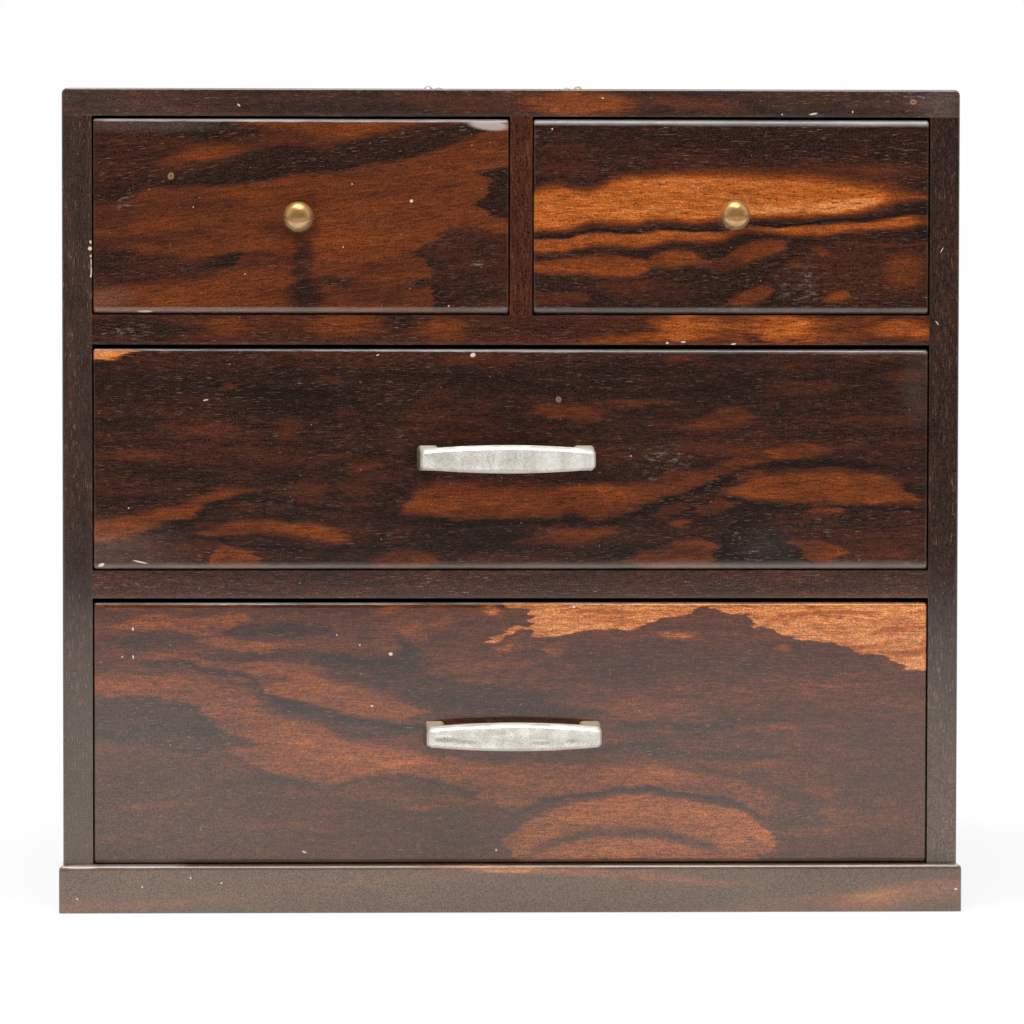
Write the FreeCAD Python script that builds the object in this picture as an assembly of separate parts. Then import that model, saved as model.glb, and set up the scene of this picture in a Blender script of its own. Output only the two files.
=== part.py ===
import FreeCAD, Part
import math
import os

from FreeCAD import Vector

# A small wooden sewing chest: two little drawers over two full-width ones, in a
# joined case on a mitred plinth, with a folding bail handle on top.
# All lengths are millimetres. +X is the chest's right, -Y its front, +Z is up.
# The origin lies under the middle of the whole chest, at the surface it stands on.

# Case
case_width = 272.0
case_depth = 186.0
side_thickness = 9.1
top_thickness = 8.4
back_panel_thickness = 5.0
case_edge_rounding = 1.0
top_end_rounding = 1.8

# Openings and rails, from the top down
upper_opening_height = 60.0
upper_rail_height = 9.0
middle_opening_height = 68.5
lower_rail_height = 8.4
lower_opening_height = 81.0
rail_depth = 18.0

# Upright between the two little drawers
divider_thickness = 6.8
divider_offset = 2.8

# Plinth frame and bottom board
plinth_height = 14.2
plinth_side_overhang = 1.0
plinth_front_overhang = 4.5
plinth_rail_width = 20.0
plinth_edge_rounding = 1.2
bottom_board_thickness = 8.0
bottom_board_ledge = 6.0

# Boards between the drawers, and the joints of the case
dust_board_thickness = 6.0
dust_board_dado = 3.0
dust_board_tongue = 3.0
tongue_thickness = 2.4
divider_housing = 2.0
tenon_length = 4.0
tenon_thickness = 3.6
tenon_setback = 4.0
tenon_back_wall = 1.0
post_tenon_length = 2.5
post_tenon_thickness = 2.8
rabbet_width = 4.0
joint_clearance = 0.1

# Wooden pegs of the case
case_peg_diameter = 2.6
case_peg_depth = 13.0
case_pegs_per_side = 3
case_peg_end_inset = 22.0
panel_peg_diameter = 1.8
panel_peg_length = 13.0
panel_pegs_per_board = 4
panel_peg_end_inset = 22.0
peg_clearance = 0.05

# Drawer clearances
drawer_running_gap = 0.3
drawer_side_gap = 0.35
drawer_back_gap = 0.3
upper_drawer_top_gap = 0.7
middle_drawer_top_gap = 1.3
lower_drawer_top_gap = 1.4

# Drawer boards
drawer_front_thickness = 11.0
drawer_lap = 5.0
drawer_side_thickness = 6.0
drawer_back_thickness = 6.0
drawer_bottom_thickness = 4.0
drawer_side_drop = 3.0
upper_front_rounding = 2.0
lower_front_rounding = 1.5
front_end_rounding = 0.8

# Wooden pegs of the drawers
drawer_peg_diameter = 1.8
drawer_peg_length = 12.0
small_drawer_corner_pegs = 2
large_drawer_corner_pegs = 3
drawer_bottom_pegs = 3
drawer_peg_end_inset = 11.0

# Ball knobs
knob_diameter = 9.1
knob_projection = 11.0
knob_neck_diameter = 3.4
knob_flange_diameter = 6.0
knob_flange_thickness = 0.8
knob_stud_diameter = 2.6
knob_stud_tail = 0.8
knob_nut_width = 5.5
knob_nut_thickness = 2.2
left_knob_offset_x = -0.7
left_knob_offset_z = -0.3
right_knob_offset_x = 0.7
right_knob_offset_z = 0.4

# Bar pulls
pull_length = 52.6
pull_projection = 11.5
pull_middle_height = 8.5
pull_end_height = 6.3
pull_corner_rounding = 1.6
pull_bar_thickness = 3.2
pull_top_bevel_height = 1.3
pull_bottom_bevel_height = 0.9
pull_end_bevel_width = 0.6
pull_bevel_depth = 1.2
pull_foot_width = 4.4
pull_foot_height = 5.6
pull_foot_inset = 0.4
pull_foot_offset_x = -0.5
pull_foot_flare = 1.0
pull_foot_rounding = 1.2
pull_screw_diameter = 3.0
pull_screw_grip = 5.0
pull_screw_head_diameter = 6.0
pull_screw_head_height = 2.0
pull_screw_slot_width = 0.8
pull_screw_slot_depth = 0.9
middle_pull_offset_x = -1.3
middle_pull_offset_z = 0.4
lower_pull_offset_x = 0.7
lower_pull_offset_z = -0.2
fastener_clearance = 0.15
thread_clearance = 0.05

# Folding bail handle on the top board
bail_post_spacing = 48.6
bail_reach = 24.0
bail_rod_diameter = 2.6
bail_corner_radius = 8.0
bail_pin_diameter = 1.8
bail_pin_clearance = 0.08
bail_pin_tail = 0.6
bail_knuckle_diameter = 3.6
bail_knuckle_gap = 0.4
bail_rest_gap = 0.3
bail_eye_diameter = 4.4
bail_eye_width = 2.6
bail_eye_rounding = 1.0
bail_collar_diameter = 3.4
bail_collar_height = 0.3
bail_stud_diameter = 2.4
bail_stud_tail = 0.5
bail_rosette_diameter = 9.0
bail_rosette_thickness = 1.0
bail_rosette_rounding = 0.5
bail_nut_width = 5.5
bail_nut_thickness = 1.6

# Heights worked out from the openings and rails
plinth_top = plinth_height
lower_opening_top = plinth_top + lower_opening_height
middle_opening_bottom = lower_opening_top + lower_rail_height
middle_opening_top = middle_opening_bottom + middle_opening_height
upper_opening_bottom = middle_opening_top + upper_rail_height
upper_opening_top = upper_opening_bottom + upper_opening_height
case_top = upper_opening_top + top_thickness

# Places across and along the case
half_width = case_width / 2
inner_half_width = half_width - side_thickness
front_reach = max(pull_projection, knob_projection)
front_y = (front_reach - case_depth) / 2
back_y = (front_reach + case_depth) / 2
panel_front_y = back_y - back_panel_thickness
rail_back_y = front_y + rail_depth
tenon_front_y = front_y + tenon_setback
tenon_back_y = rail_back_y - dust_board_tongue - tenon_back_wall
drawer_end_y = panel_front_y - drawer_back_gap
divider_left = divider_offset - divider_thickness / 2
divider_right = divider_offset + divider_thickness / 2
bail_y = front_y + case_depth / 2
bail_post_x = bail_post_spacing / 2
bail_pivot_height = bail_rosette_thickness + bail_collar_height + bail_eye_diameter / 2
bail_pivot_z = case_top + bail_pivot_height
bail_leg_x = bail_post_x - (bail_eye_width + bail_knuckle_diameter) / 2 - bail_knuckle_gap
bail_rest_drop = bail_pivot_height - bail_rod_diameter / 2 - bail_rest_gap
bail_rest_tilt = math.degrees(math.asin(bail_rest_drop / bail_reach))

LEFT = Vector(-1, 0, 0)
RIGHT = Vector(1, 0, 0)
BACK = Vector(0, 1, 0)
UP = Vector(0, 0, 1)


def box(x_low, x_high, y_low, y_high, z_low, z_high):
    return Part.makeBox(x_high - x_low, y_high - y_low, z_high - z_low, Vector(x_low, y_low, z_low))


def spread(low, high, count):
    """Evenly spaced places from low to high, or the middle when there is one."""
    if count < 2:
        return [(low + high) / 2]
    step = (high - low) / (count - 1)
    return [low + step * index for index in range(count)]


def rounded(shape, radius, keep):
    """Round the edges whose middle point passes the keep test."""
    edges = []
    for edge in shape.Edges:
        middle = edge.BoundBox.Center
        if keep(middle):
            edges.append(edge)
    return shape.makeFillet(radius, edges)


def near(value, target):
    return abs(value - target) < 1e-4


class Peg:
    """A round wooden peg, driven from a point on a face along a direction."""

    def __init__(self, start, direction, diameter, length):
        self.start = start
        self.direction = direction
        self.radius = diameter / 2
        self.length = length

    def solid(self):
        return Part.makeCylinder(self.radius, self.length, self.start, self.direction)

    def hole(self):
        radius = self.radius + peg_clearance
        return Part.makeCylinder(radius, self.length + peg_clearance, self.start, self.direction)


def drill(shape, pegs):
    for peg in pegs:
        shape = shape.cut(peg.hole())
    return shape


def hexagon_nut(centre, direction, width, thickness, bore_radius):
    """A hexagonal nut whose seat is centred on the point and faces back along the direction."""
    sides = 6
    corner_radius = width / 2 / math.cos(math.pi / sides)
    corners = []
    for index in range(sides + 1):
        angle = 2 * math.pi * index / sides
        corners.append(Vector(corner_radius * math.cos(angle), corner_radius * math.sin(angle), 0))
    prism = Part.Face(Part.makePolygon(corners)).extrude(Vector(0, 0, thickness))
    prism = prism.cut(Part.makeCylinder(bore_radius, thickness))
    prism.Placement = FreeCAD.Placement(centre, FreeCAD.Rotation(UP, direction))
    return prism


# Pegs of the case


def top_pegs():
    """Pegs down through the top board into the upper ends of the sides."""
    pegs = []
    for x in (-half_width + side_thickness / 2, half_width - side_thickness / 2):
        for y in spread(front_y + case_peg_end_inset, back_y - case_peg_end_inset, case_pegs_per_side):
            length = top_thickness + case_peg_depth
            pegs.append(Peg(Vector(x, y, case_top), Vector(0, 0, -1), case_peg_diameter, length))
    return pegs


def plinth_pegs():
    """Pegs up through the plinth into the lower ends of the sides."""
    pegs = []
    for x in (-half_width + side_thickness / 2, half_width - side_thickness / 2):
        for y in spread(front_y + case_peg_end_inset, back_y - case_peg_end_inset, case_pegs_per_side):
            length = plinth_height + case_peg_depth
            pegs.append(Peg(Vector(x, y, 0), UP, case_peg_diameter, length))
    return pegs


def dust_board_height(shelf_top):
    return shelf_top - dust_board_thickness / 2


def back_pegs():
    """Pegs through the back panel into the sides, the top board and the dust boards."""
    places = []
    opening_middles = (
        (plinth_top + lower_opening_top) / 2,
        (middle_opening_bottom + middle_opening_top) / 2,
        (upper_opening_bottom + upper_opening_top) / 2,
    )
    edge_x = inner_half_width + rabbet_width / 2
    for z in opening_middles:
        places.append((-edge_x, z))
        places.append((edge_x, z))
    rows = (
        upper_opening_top + rabbet_width / 2,
        dust_board_height(upper_opening_bottom),
        dust_board_height(middle_opening_bottom),
    )
    for z in rows:
        reach = inner_half_width - panel_peg_end_inset
        for x in spread(-reach, reach, panel_pegs_per_board):
            places.append((x, z))
    pegs = []
    for x, z in places:
        start = Vector(x, back_y, z)
        pegs.append(Peg(start, Vector(0, -1, 0), panel_peg_diameter, panel_peg_length))
    return pegs


# Boards of the case


def top_board():
    board = box(-half_width, half_width, front_y, back_y, upper_opening_top, case_top)

    def upper_end(middle):
        return near(abs(middle.x), half_width) and near(middle.z, case_top)

    def front_or_back_rim(middle):
        return (near(middle.y, front_y) or near(middle.y, back_y)) and not near(middle.z, upper_opening_top)

    board = rounded(board, top_end_rounding, upper_end)
    board = rounded(board, case_edge_rounding, front_or_back_rim)
    panel_edge = inner_half_width + rabbet_width
    rabbet_top = upper_opening_top + rabbet_width
    board = board.cut(box(-panel_edge, panel_edge, panel_front_y, back_y, upper_opening_top, rabbet_top))
    board = board.cut(divider_board_space())
    board = board.cut(post_mortise(upper_opening_top, upper_opening_top + post_tenon_length))
    board = drill(board, top_pegs() + back_pegs())
    for x in (-bail_post_x, bail_post_x):
        radius = bail_stud_diameter / 2 + fastener_clearance
        board = board.cut(Part.makeCylinder(radius, top_thickness, Vector(x, bail_y, upper_opening_top), UP))
    return board


def left_side():
    side = box(-half_width, -inner_half_width, front_y, back_y, plinth_top, upper_opening_top)

    def outer_corner(middle):
        return near(middle.x, -half_width) and (near(middle.y, front_y) or near(middle.y, back_y))

    side = rounded(side, case_edge_rounding, outer_corner)
    rabbet_x = -inner_half_width - rabbet_width
    side = side.cut(box(rabbet_x, -inner_half_width, panel_front_y, back_y, plinth_top, upper_opening_top))
    for shelf_top, rail_height in ((upper_opening_bottom, upper_rail_height),
                                   (middle_opening_bottom, lower_rail_height)):
        dado_x = -inner_half_width - dust_board_dado
        shelf_under = shelf_top - dust_board_thickness
        side = side.cut(box(dado_x, -inner_half_width, rail_back_y, panel_front_y, shelf_under, shelf_top))
        side = side.cut(rail_tenon(-1, shelf_top - rail_height / 2, joint_clearance))
    return drill(side, top_pegs() + plinth_pegs() + back_pegs())


def right_side():
    return left_side().mirror(Vector(0, 0, 0), RIGHT)


def rail_tenon(end, middle_z, clearance):
    """The stub tenon on one end of a rail, or its mortise when given a clearance."""
    x_inner = end * inner_half_width
    x_outer = end * (inner_half_width + tenon_length + clearance)
    half_height = tenon_thickness / 2 + clearance
    return box(min(x_inner, x_outer), max(x_inner, x_outer),
               tenon_front_y - clearance, tenon_back_y + clearance,
               middle_z - half_height, middle_z + half_height)


def dust_board_tongue_box(shelf_top, clearance):
    """The tongue on the front edge of a dust board, or its groove when given a clearance."""
    middle_z = dust_board_height(shelf_top)
    half_height = tongue_thickness / 2 + clearance
    return box(-inner_half_width, inner_half_width, rail_back_y - dust_board_tongue - clearance, rail_back_y,
               middle_z - half_height, middle_z + half_height)


def post_mortise(z_low, z_high):
    half_thickness = post_tenon_thickness / 2 + joint_clearance
    return box(divider_offset - half_thickness, divider_offset + half_thickness,
               tenon_front_y - joint_clearance, tenon_back_y + joint_clearance,
               z_low - joint_clearance, z_high + joint_clearance)


def rail(shelf_top, rail_height):
    board = box(-inner_half_width, inner_half_width, front_y, rail_back_y, shelf_top - rail_height, shelf_top)
    board = board.cut(dust_board_tongue_box(shelf_top, joint_clearance))
    for end in (-1, 1):
        board = board.fuse(rail_tenon(end, shelf_top - rail_height / 2, 0))
    return board.removeSplitter()


def upper_rail():
    board = rail(upper_opening_bottom, upper_rail_height)
    return board.cut(post_mortise(upper_opening_bottom - post_tenon_length, upper_opening_bottom))


def lower_rail():
    return rail(middle_opening_bottom, lower_rail_height)


def dust_board(shelf_top):
    """A thin board behind a rail, let into the sides, that carries the drawer above it."""
    reach = inner_half_width + dust_board_dado
    board = box(-reach, reach, rail_back_y, panel_front_y, shelf_top - dust_board_thickness, shelf_top)
    board = board.fuse(dust_board_tongue_box(shelf_top, 0)).removeSplitter()
    return drill(board, back_pegs())


def upper_dust_board():
    return dust_board(upper_opening_bottom).cut(divider_board_space())


def lower_dust_board():
    return dust_board(middle_opening_bottom)


def divider_post():
    post = box(divider_left, divider_right, front_y, rail_back_y, upper_opening_bottom, upper_opening_top)
    half_thickness = post_tenon_thickness / 2
    tenon = box(divider_offset - half_thickness, divider_offset + half_thickness, tenon_front_y, tenon_back_y,
                upper_opening_bottom - post_tenon_length, upper_opening_top + post_tenon_length)
    return post.fuse(tenon).removeSplitter()


def divider_board_space():
    return box(divider_left, divider_right, rail_back_y, panel_front_y,
               upper_opening_bottom - divider_housing, upper_opening_top + divider_housing)


def divider_board():
    return drill(divider_board_space(), back_pegs())


def back_panel():
    reach = inner_half_width + rabbet_width
    panel = box(-reach, reach, panel_front_y, back_y, plinth_top, upper_opening_top + rabbet_width)
    return drill(panel, back_pegs())


# Plinth

plinth_half_width = half_width + plinth_side_overhang
plinth_front_y = front_y - plinth_front_overhang
plinth_inner_x = plinth_half_width - plinth_rail_width
plinth_inner_front = plinth_front_y + plinth_rail_width
plinth_inner_back = back_y - plinth_rail_width


def bottom_board():
    return box(-plinth_inner_x - bottom_board_ledge, plinth_inner_x + bottom_board_ledge,
               plinth_inner_front - bottom_board_ledge, plinth_inner_back + bottom_board_ledge,
               plinth_top - bottom_board_thickness, plinth_top)


def plinth_frame():
    frame = box(-plinth_half_width, plinth_half_width, plinth_front_y, back_y, 0, plinth_height)

    def shown_edge(middle):
        outer = near(abs(middle.x), plinth_half_width) or near(middle.y, plinth_front_y)
        return outer and (near(middle.z, plinth_height) or not near(middle.z, 0))

    frame = rounded(frame, plinth_edge_rounding, shown_edge)
    window = box(-plinth_inner_x, plinth_inner_x, plinth_inner_front, plinth_inner_back, 0, plinth_height)
    return drill(frame.cut(window).cut(bottom_board()), plinth_pegs())


def plinth_rail(outer_start, outer_end, inner_end, inner_start):
    """One mitred rail: the part of the frame inside a four-cornered outline."""
    corners = [Vector(x, y, 0) for x, y in (outer_start, outer_end, inner_end, inner_start, outer_start)]
    outline = Part.Face(Part.makePolygon(corners))
    return plinth_frame().common(outline.extrude(Vector(0, 0, plinth_height)))


def plinth_rails():
    outer_corners = [(-plinth_half_width, plinth_front_y), (plinth_half_width, plinth_front_y),
                     (plinth_half_width, back_y), (-plinth_half_width, back_y)]
    inner_corners = [(-plinth_inner_x, plinth_inner_front), (plinth_inner_x, plinth_inner_front),
                     (plinth_inner_x, plinth_inner_back), (-plinth_inner_x, plinth_inner_back)]
    names = ("plinth_front_rail", "plinth_right_rail", "plinth_back_rail", "plinth_left_rail")
    rails = {}
    for index, name in enumerate(names):
        following = (index + 1) % len(names)
        rails[name] = plinth_rail(outer_corners[index], outer_corners[following],
                                  inner_corners[following], inner_corners[index])
    return rails


# Knobs


def knob(x, z):
    ball_radius = knob_diameter / 2
    ball_y = front_y - knob_projection + ball_radius
    solid = Part.makeSphere(ball_radius, Vector(x, ball_y, z))
    neck = Part.makeCylinder(knob_neck_diameter / 2, front_y - ball_y, Vector(x, ball_y, z), BACK)
    flange_start = Vector(x, front_y - knob_flange_thickness, z)
    flange = Part.makeCylinder(knob_flange_diameter / 2, knob_flange_thickness, flange_start, BACK)
    stud_length = drawer_front_thickness + knob_nut_thickness + knob_stud_tail
    stud = Part.makeCylinder(knob_stud_diameter / 2, stud_length, Vector(x, front_y, z), BACK)
    return solid.fuse([neck, flange, stud]).removeSplitter()


def knob_nut(x, z):
    seat = Vector(x, front_y + drawer_front_thickness, z)
    bore_radius = knob_stud_diameter / 2 + thread_clearance
    return hexagon_nut(seat, BACK, knob_nut_width, knob_nut_thickness, bore_radius)


def knob_hole(x, z):
    radius = knob_stud_diameter / 2 + fastener_clearance
    return Part.makeCylinder(radius, drawer_front_thickness, Vector(x, front_y, z), BACK)


# Bar pulls

pull_foot_x = (pull_length - pull_foot_width) / 2 - pull_foot_inset
pull_foot_places = (pull_foot_offset_x - pull_foot_x, pull_foot_offset_x + pull_foot_x)
pull_bar_back_y = front_y - pull_projection + pull_bar_thickness


def crowned_outline(y, x_low, x_high, z_low, z_high, crown, rounding):
    """A closed outline facing along Y, with rounded corners, that swells by the crown in its middle."""
    bend = rounding * (1 - math.sqrt(0.5))
    middle_x = (x_low + x_high) / 2

    def point(x, z):
        return Vector(x, y, z)

    def corner(x, z, inward_x, inward_z):
        """The arc round one corner, from its end on the long side to its end on the short side."""
        long_end = point(x + inward_x * rounding, z)
        short_end = point(x, z + inward_z * rounding)
        return Part.Arc(long_end, point(x + inward_x * bend, z + inward_z * bend), short_end).toShape()

    def long_side(z, swell):
        start = point(x_low + rounding, z)
        end = point(x_high - rounding, z)
        if crown == 0:
            return Part.makeLine(start, end)
        return Part.Arc(start, point(middle_x, z + swell), end).toShape()

    def short_side(x):
        return Part.makeLine(point(x, z_low + rounding), point(x, z_high - rounding))

    edges = [
        long_side(z_high, crown),
        corner(x_high, z_high, -1, -1),
        short_side(x_high),
        corner(x_high, z_low, -1, 1),
        long_side(z_low, -crown),
        corner(x_low, z_low, 1, 1),
        short_side(x_low),
        corner(x_low, z_high, 1, -1),
    ]
    return Part.Wire(Part.__sortEdges__(edges))


def pull_foot(end):
    """A leg from the back of the bar to the drawer, a little wider where it lands."""
    outer_x = pull_length / 2 - pull_foot_inset
    inner_x = outer_x - pull_foot_width
    half_height = pull_foot_height / 2
    flare = pull_foot_flare
    start_y = front_y - pull_projection + pull_bevel_depth
    bar_end = crowned_outline(start_y, inner_x, outer_x, -half_height, half_height, 0, pull_foot_rounding)
    landing = crowned_outline(front_y, inner_x - flare, outer_x + flare, -half_height - flare,
                              half_height + flare, 0, pull_foot_rounding)
    leg = Part.makeLoft([bar_end, landing], True, True)
    if end < 0:
        leg = leg.mirror(Vector(0, 0, 0), RIGHT)
    leg.translate(Vector(pull_foot_offset_x, 0, 0))
    return leg


def pull(x, z):
    """A bar with bevelled edges, taller in its middle, on two legs with screw holes."""
    bar_front = front_y - pull_projection
    half_length = pull_length / 2
    half_height = pull_end_height / 2
    crown = (pull_middle_height - pull_end_height) / 2
    full = crowned_outline(bar_front + pull_bevel_depth, -half_length, half_length, -half_height, half_height,
                           crown, pull_corner_rounding)
    face_half_length = half_length - pull_end_bevel_width
    face_low = -half_height + pull_bottom_bevel_height
    face_high = half_height - pull_top_bevel_height
    face = crowned_outline(bar_front, -face_half_length, face_half_length, face_low, face_high, crown,
                           pull_corner_rounding - pull_end_bevel_width)
    bevel = Part.makeLoft([face, full], True, True)
    bar = Part.Face(full).extrude(Vector(0, pull_bar_thickness - pull_bevel_depth, 0))
    solid = bar.fuse([bevel, pull_foot(-1), pull_foot(1)]).removeSplitter()
    for foot_x in pull_foot_places:
        depth = pull_screw_grip + thread_clearance
        radius = pull_screw_diameter / 2 + thread_clearance
        start = Vector(foot_x, front_y - depth, 0)
        solid = solid.cut(Part.makeCylinder(radius, depth, start, BACK))
    solid.translate(Vector(x, 0, z))
    return solid


def pull_screws(x, z):
    screws = []
    for place in pull_foot_places:
        foot_x = x + place
        seat_y = front_y + drawer_front_thickness
        shank_length = drawer_front_thickness + pull_screw_grip
        shank = Part.makeCylinder(pull_screw_diameter / 2, shank_length,
                                  Vector(foot_x, seat_y - shank_length, z), BACK)
        head_radius = pull_screw_head_diameter / 2
        head = Part.makeCylinder(head_radius, pull_screw_head_height, Vector(foot_x, seat_y, z), BACK)
        head_top = seat_y + pull_screw_head_height
        slot = box(foot_x - head_radius, foot_x + head_radius, head_top - pull_screw_slot_depth, head_top,
                   z - pull_screw_slot_width / 2, z + pull_screw_slot_width / 2)
        screws.append(shank.fuse(head).removeSplitter().cut(slot))
    return Part.makeCompound(screws)


def pull_holes(x, z):
    radius = pull_screw_diameter / 2 + fastener_clearance
    holes = []
    for place in pull_foot_places:
        foot_x = x + place
        holes.append(Part.makeCylinder(radius, drawer_front_thickness, Vector(foot_x, front_y, z), BACK))
    return Part.makeCompound(holes)


# Drawers


class Drawer:
    """A drawer that fills one opening of the case, with its clearances."""

    def __init__(self, name, opening_x, opening_z, top_gap, rounding, corner_pegs):
        self.name = name
        self.left = opening_x[0] + drawer_side_gap
        self.right = opening_x[1] - drawer_side_gap
        self.bottom = opening_z[0] + drawer_running_gap
        self.front_top = opening_z[1] - top_gap
        self.side_top = self.front_top - drawer_side_drop
        self.floor = self.bottom + drawer_bottom_thickness
        self.rounding = rounding
        self.corner_pegs = corner_pegs
        self.middle_x = (self.left + self.right) / 2
        self.middle_z = (self.bottom + self.front_top) / 2
        self.lap_y = front_y + drawer_lap
        self.front_back_y = front_y + drawer_front_thickness
        self.back_front_y = drawer_end_y - drawer_back_thickness

    def pegs(self):
        pegs = []
        joint_ys = ((self.lap_y + self.front_back_y) / 2, (self.back_front_y + drawer_end_y) / 2)
        low = self.floor + drawer_peg_end_inset
        high = self.side_top - drawer_peg_end_inset
        for x, direction in ((self.left, RIGHT), (self.right, LEFT)):
            for y in joint_ys:
                for z in spread(low, high, self.corner_pegs):
                    start = Vector(x, y, z)
                    pegs.append(Peg(start, direction, drawer_peg_diameter, drawer_peg_length))
        near_y = self.front_back_y + drawer_peg_end_inset
        far_y = self.back_front_y - drawer_peg_end_inset
        for x in (self.left + drawer_side_thickness / 2, self.right - drawer_side_thickness / 2):
            for y in spread(near_y, far_y, drawer_bottom_pegs):
                pegs.append(Peg(Vector(x, y, self.bottom), UP, drawer_peg_diameter, drawer_peg_length))
        return pegs

    def front(self):
        board = box(self.left, self.right, front_y, self.front_back_y, self.bottom, self.front_top)

        def upper_or_lower_edge(middle):
            return near(middle.y, front_y) and near(middle.x, self.middle_x)

        def end_edge(middle):
            at_end = near(middle.x, self.left) or near(middle.x, self.right)
            return at_end and middle.y < front_y + self.rounding

        board = rounded(board, self.rounding, upper_or_lower_edge)
        board = rounded(board, front_end_rounding, end_edge)
        board = board.cut(box(self.left, self.right, self.lap_y, self.front_back_y, self.bottom, self.floor))
        for low, high in ((self.left, self.left + drawer_side_thickness),
                          (self.right - drawer_side_thickness, self.right)):
            board = board.cut(box(low, high, self.lap_y, self.front_back_y, self.floor, self.side_top))
        return drill(board, self.pegs())

    def side(self, low, high):
        board = box(low, high, self.lap_y, drawer_end_y, self.floor, self.side_top)
        return drill(board, self.pegs())

    def left_side(self):
        return self.side(self.left, self.left + drawer_side_thickness)

    def right_side(self):
        return self.side(self.right - drawer_side_thickness, self.right)

    def back(self):
        board = box(self.left + drawer_side_thickness, self.right - drawer_side_thickness,
                    self.back_front_y, drawer_end_y, self.floor, self.side_top)
        return drill(board, self.pegs())

    def floor_board(self):
        board = box(self.left, self.right, self.lap_y, drawer_end_y, self.bottom, self.floor)
        return drill(board, self.pegs())

    def interior(self):
        """The clear space inside, as its low and high corners."""
        low = Vector(self.left + drawer_side_thickness, self.front_back_y, self.floor)
        high = Vector(self.right - drawer_side_thickness, self.back_front_y, self.side_top)
        return low, high


whole_width = (-inner_half_width, inner_half_width)
upper_span = (upper_opening_bottom, upper_opening_top)
upper_left_drawer = Drawer("upper_left_drawer", (-inner_half_width, divider_left), upper_span,
                           upper_drawer_top_gap, upper_front_rounding, small_drawer_corner_pegs)
upper_right_drawer = Drawer("upper_right_drawer", (divider_right, inner_half_width), upper_span,
                            upper_drawer_top_gap, upper_front_rounding, small_drawer_corner_pegs)
middle_drawer = Drawer("middle_drawer", whole_width, (middle_opening_bottom, middle_opening_top),
                       middle_drawer_top_gap, lower_front_rounding, large_drawer_corner_pegs)
lower_drawer = Drawer("lower_drawer", whole_width, (plinth_top, lower_opening_top),
                      lower_drawer_top_gap, lower_front_rounding, large_drawer_corner_pegs)
drawers = (upper_left_drawer, upper_right_drawer, middle_drawer, lower_drawer)


# Bail handle


def bail():
    """A bent rod between two posts, lying back on the top board."""
    rod_radius = bail_rod_diameter / 2
    straight = bail_reach - bail_corner_radius
    bend = bail_corner_radius * (1 - math.sqrt(0.5))
    grip_x = bail_leg_x - bail_corner_radius

    def arc(start, through, end):
        return Part.Arc(Vector(*start), Vector(*through), Vector(*end)).toShape()

    path = Part.Wire([
        Part.makeLine(Vector(-bail_leg_x, 0, 0), Vector(-bail_leg_x, straight, 0)),
        arc((-bail_leg_x, straight, 0), (-bail_leg_x + bend, bail_reach - bend, 0), (-grip_x, bail_reach, 0)),
        Part.makeLine(Vector(-grip_x, bail_reach, 0), Vector(grip_x, bail_reach, 0)),
        arc((grip_x, bail_reach, 0), (bail_leg_x - bend, bail_reach - bend, 0), (bail_leg_x, straight, 0)),
        Part.makeLine(Vector(bail_leg_x, straight, 0), Vector(bail_leg_x, 0, 0)),
    ])
    ring = Part.Wire(Part.makeCircle(rod_radius, Vector(-bail_leg_x, 0, 0), BACK))
    solid = path.makePipeShell([ring], True, False)
    pin_length = bail_post_x + bail_eye_width / 2 + bail_pin_tail - bail_leg_x
    for end in (-1, 1):
        leg = Vector(end * bail_leg_x, 0, 0)
        knuckle = Part.makeSphere(bail_knuckle_diameter / 2, leg)
        pin = Part.makeCylinder(bail_pin_diameter / 2, pin_length, leg, Vector(end, 0, 0))
        solid = solid.fuse([knuckle, pin])
    solid = solid.removeSplitter()
    solid.rotate(Vector(0, 0, 0), RIGHT, -bail_rest_tilt)
    solid.translate(Vector(0, bail_y, bail_pivot_z))
    return solid


def bail_post(end):
    """A stud with a rounded eye on top, for the bail's pin to turn in."""
    x = end * bail_post_x
    eye_side = Vector(x - bail_eye_width / 2, bail_y, bail_pivot_z)
    eye = Part.makeCylinder(bail_eye_diameter / 2, bail_eye_width, eye_side, RIGHT)

    def rim(middle):
        return near(abs(middle.x - x), bail_eye_width / 2)

    eye = rounded(eye, bail_eye_rounding, rim)
    seat = Vector(x, bail_y, case_top + bail_rosette_thickness)
    collar = Part.makeCylinder(bail_collar_diameter / 2, bail_collar_height, seat, UP)
    stud_bottom = upper_opening_top - bail_nut_thickness - bail_stud_tail
    stud = Part.makeCylinder(bail_stud_diameter / 2, bail_pivot_z - stud_bottom,
                             Vector(x, bail_y, stud_bottom), UP)
    hole_radius = bail_pin_diameter / 2 + bail_pin_clearance
    hole = Part.makeCylinder(hole_radius, bail_eye_width, eye_side, RIGHT)
    return eye.fuse([collar, stud]).removeSplitter().cut(hole)


def bail_rosette(end):
    x = end * bail_post_x
    seat = Vector(x, bail_y, case_top)
    disc = Part.makeCylinder(bail_rosette_diameter / 2, bail_rosette_thickness, seat, UP)

    def upper_rim(middle):
        return near(middle.z, case_top + bail_rosette_thickness)

    disc = rounded(disc, bail_rosette_rounding, upper_rim)
    bore_radius = bail_stud_diameter / 2 + fastener_clearance
    return disc.cut(Part.makeCylinder(bore_radius, bail_rosette_thickness, seat, UP))


def bail_nuts():
    nuts = []
    for x in (-bail_post_x, bail_post_x):
        seat = Vector(x, bail_y, upper_opening_top)
        bore_radius = bail_stud_diameter / 2 + thread_clearance
        nuts.append(hexagon_nut(seat, Vector(0, 0, -1), bail_nut_width, bail_nut_thickness, bore_radius))
    return Part.makeCompound(nuts)


# Everything, by name


def peg_group(pegs):
    return Part.makeCompound([peg.solid() for peg in pegs])


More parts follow.
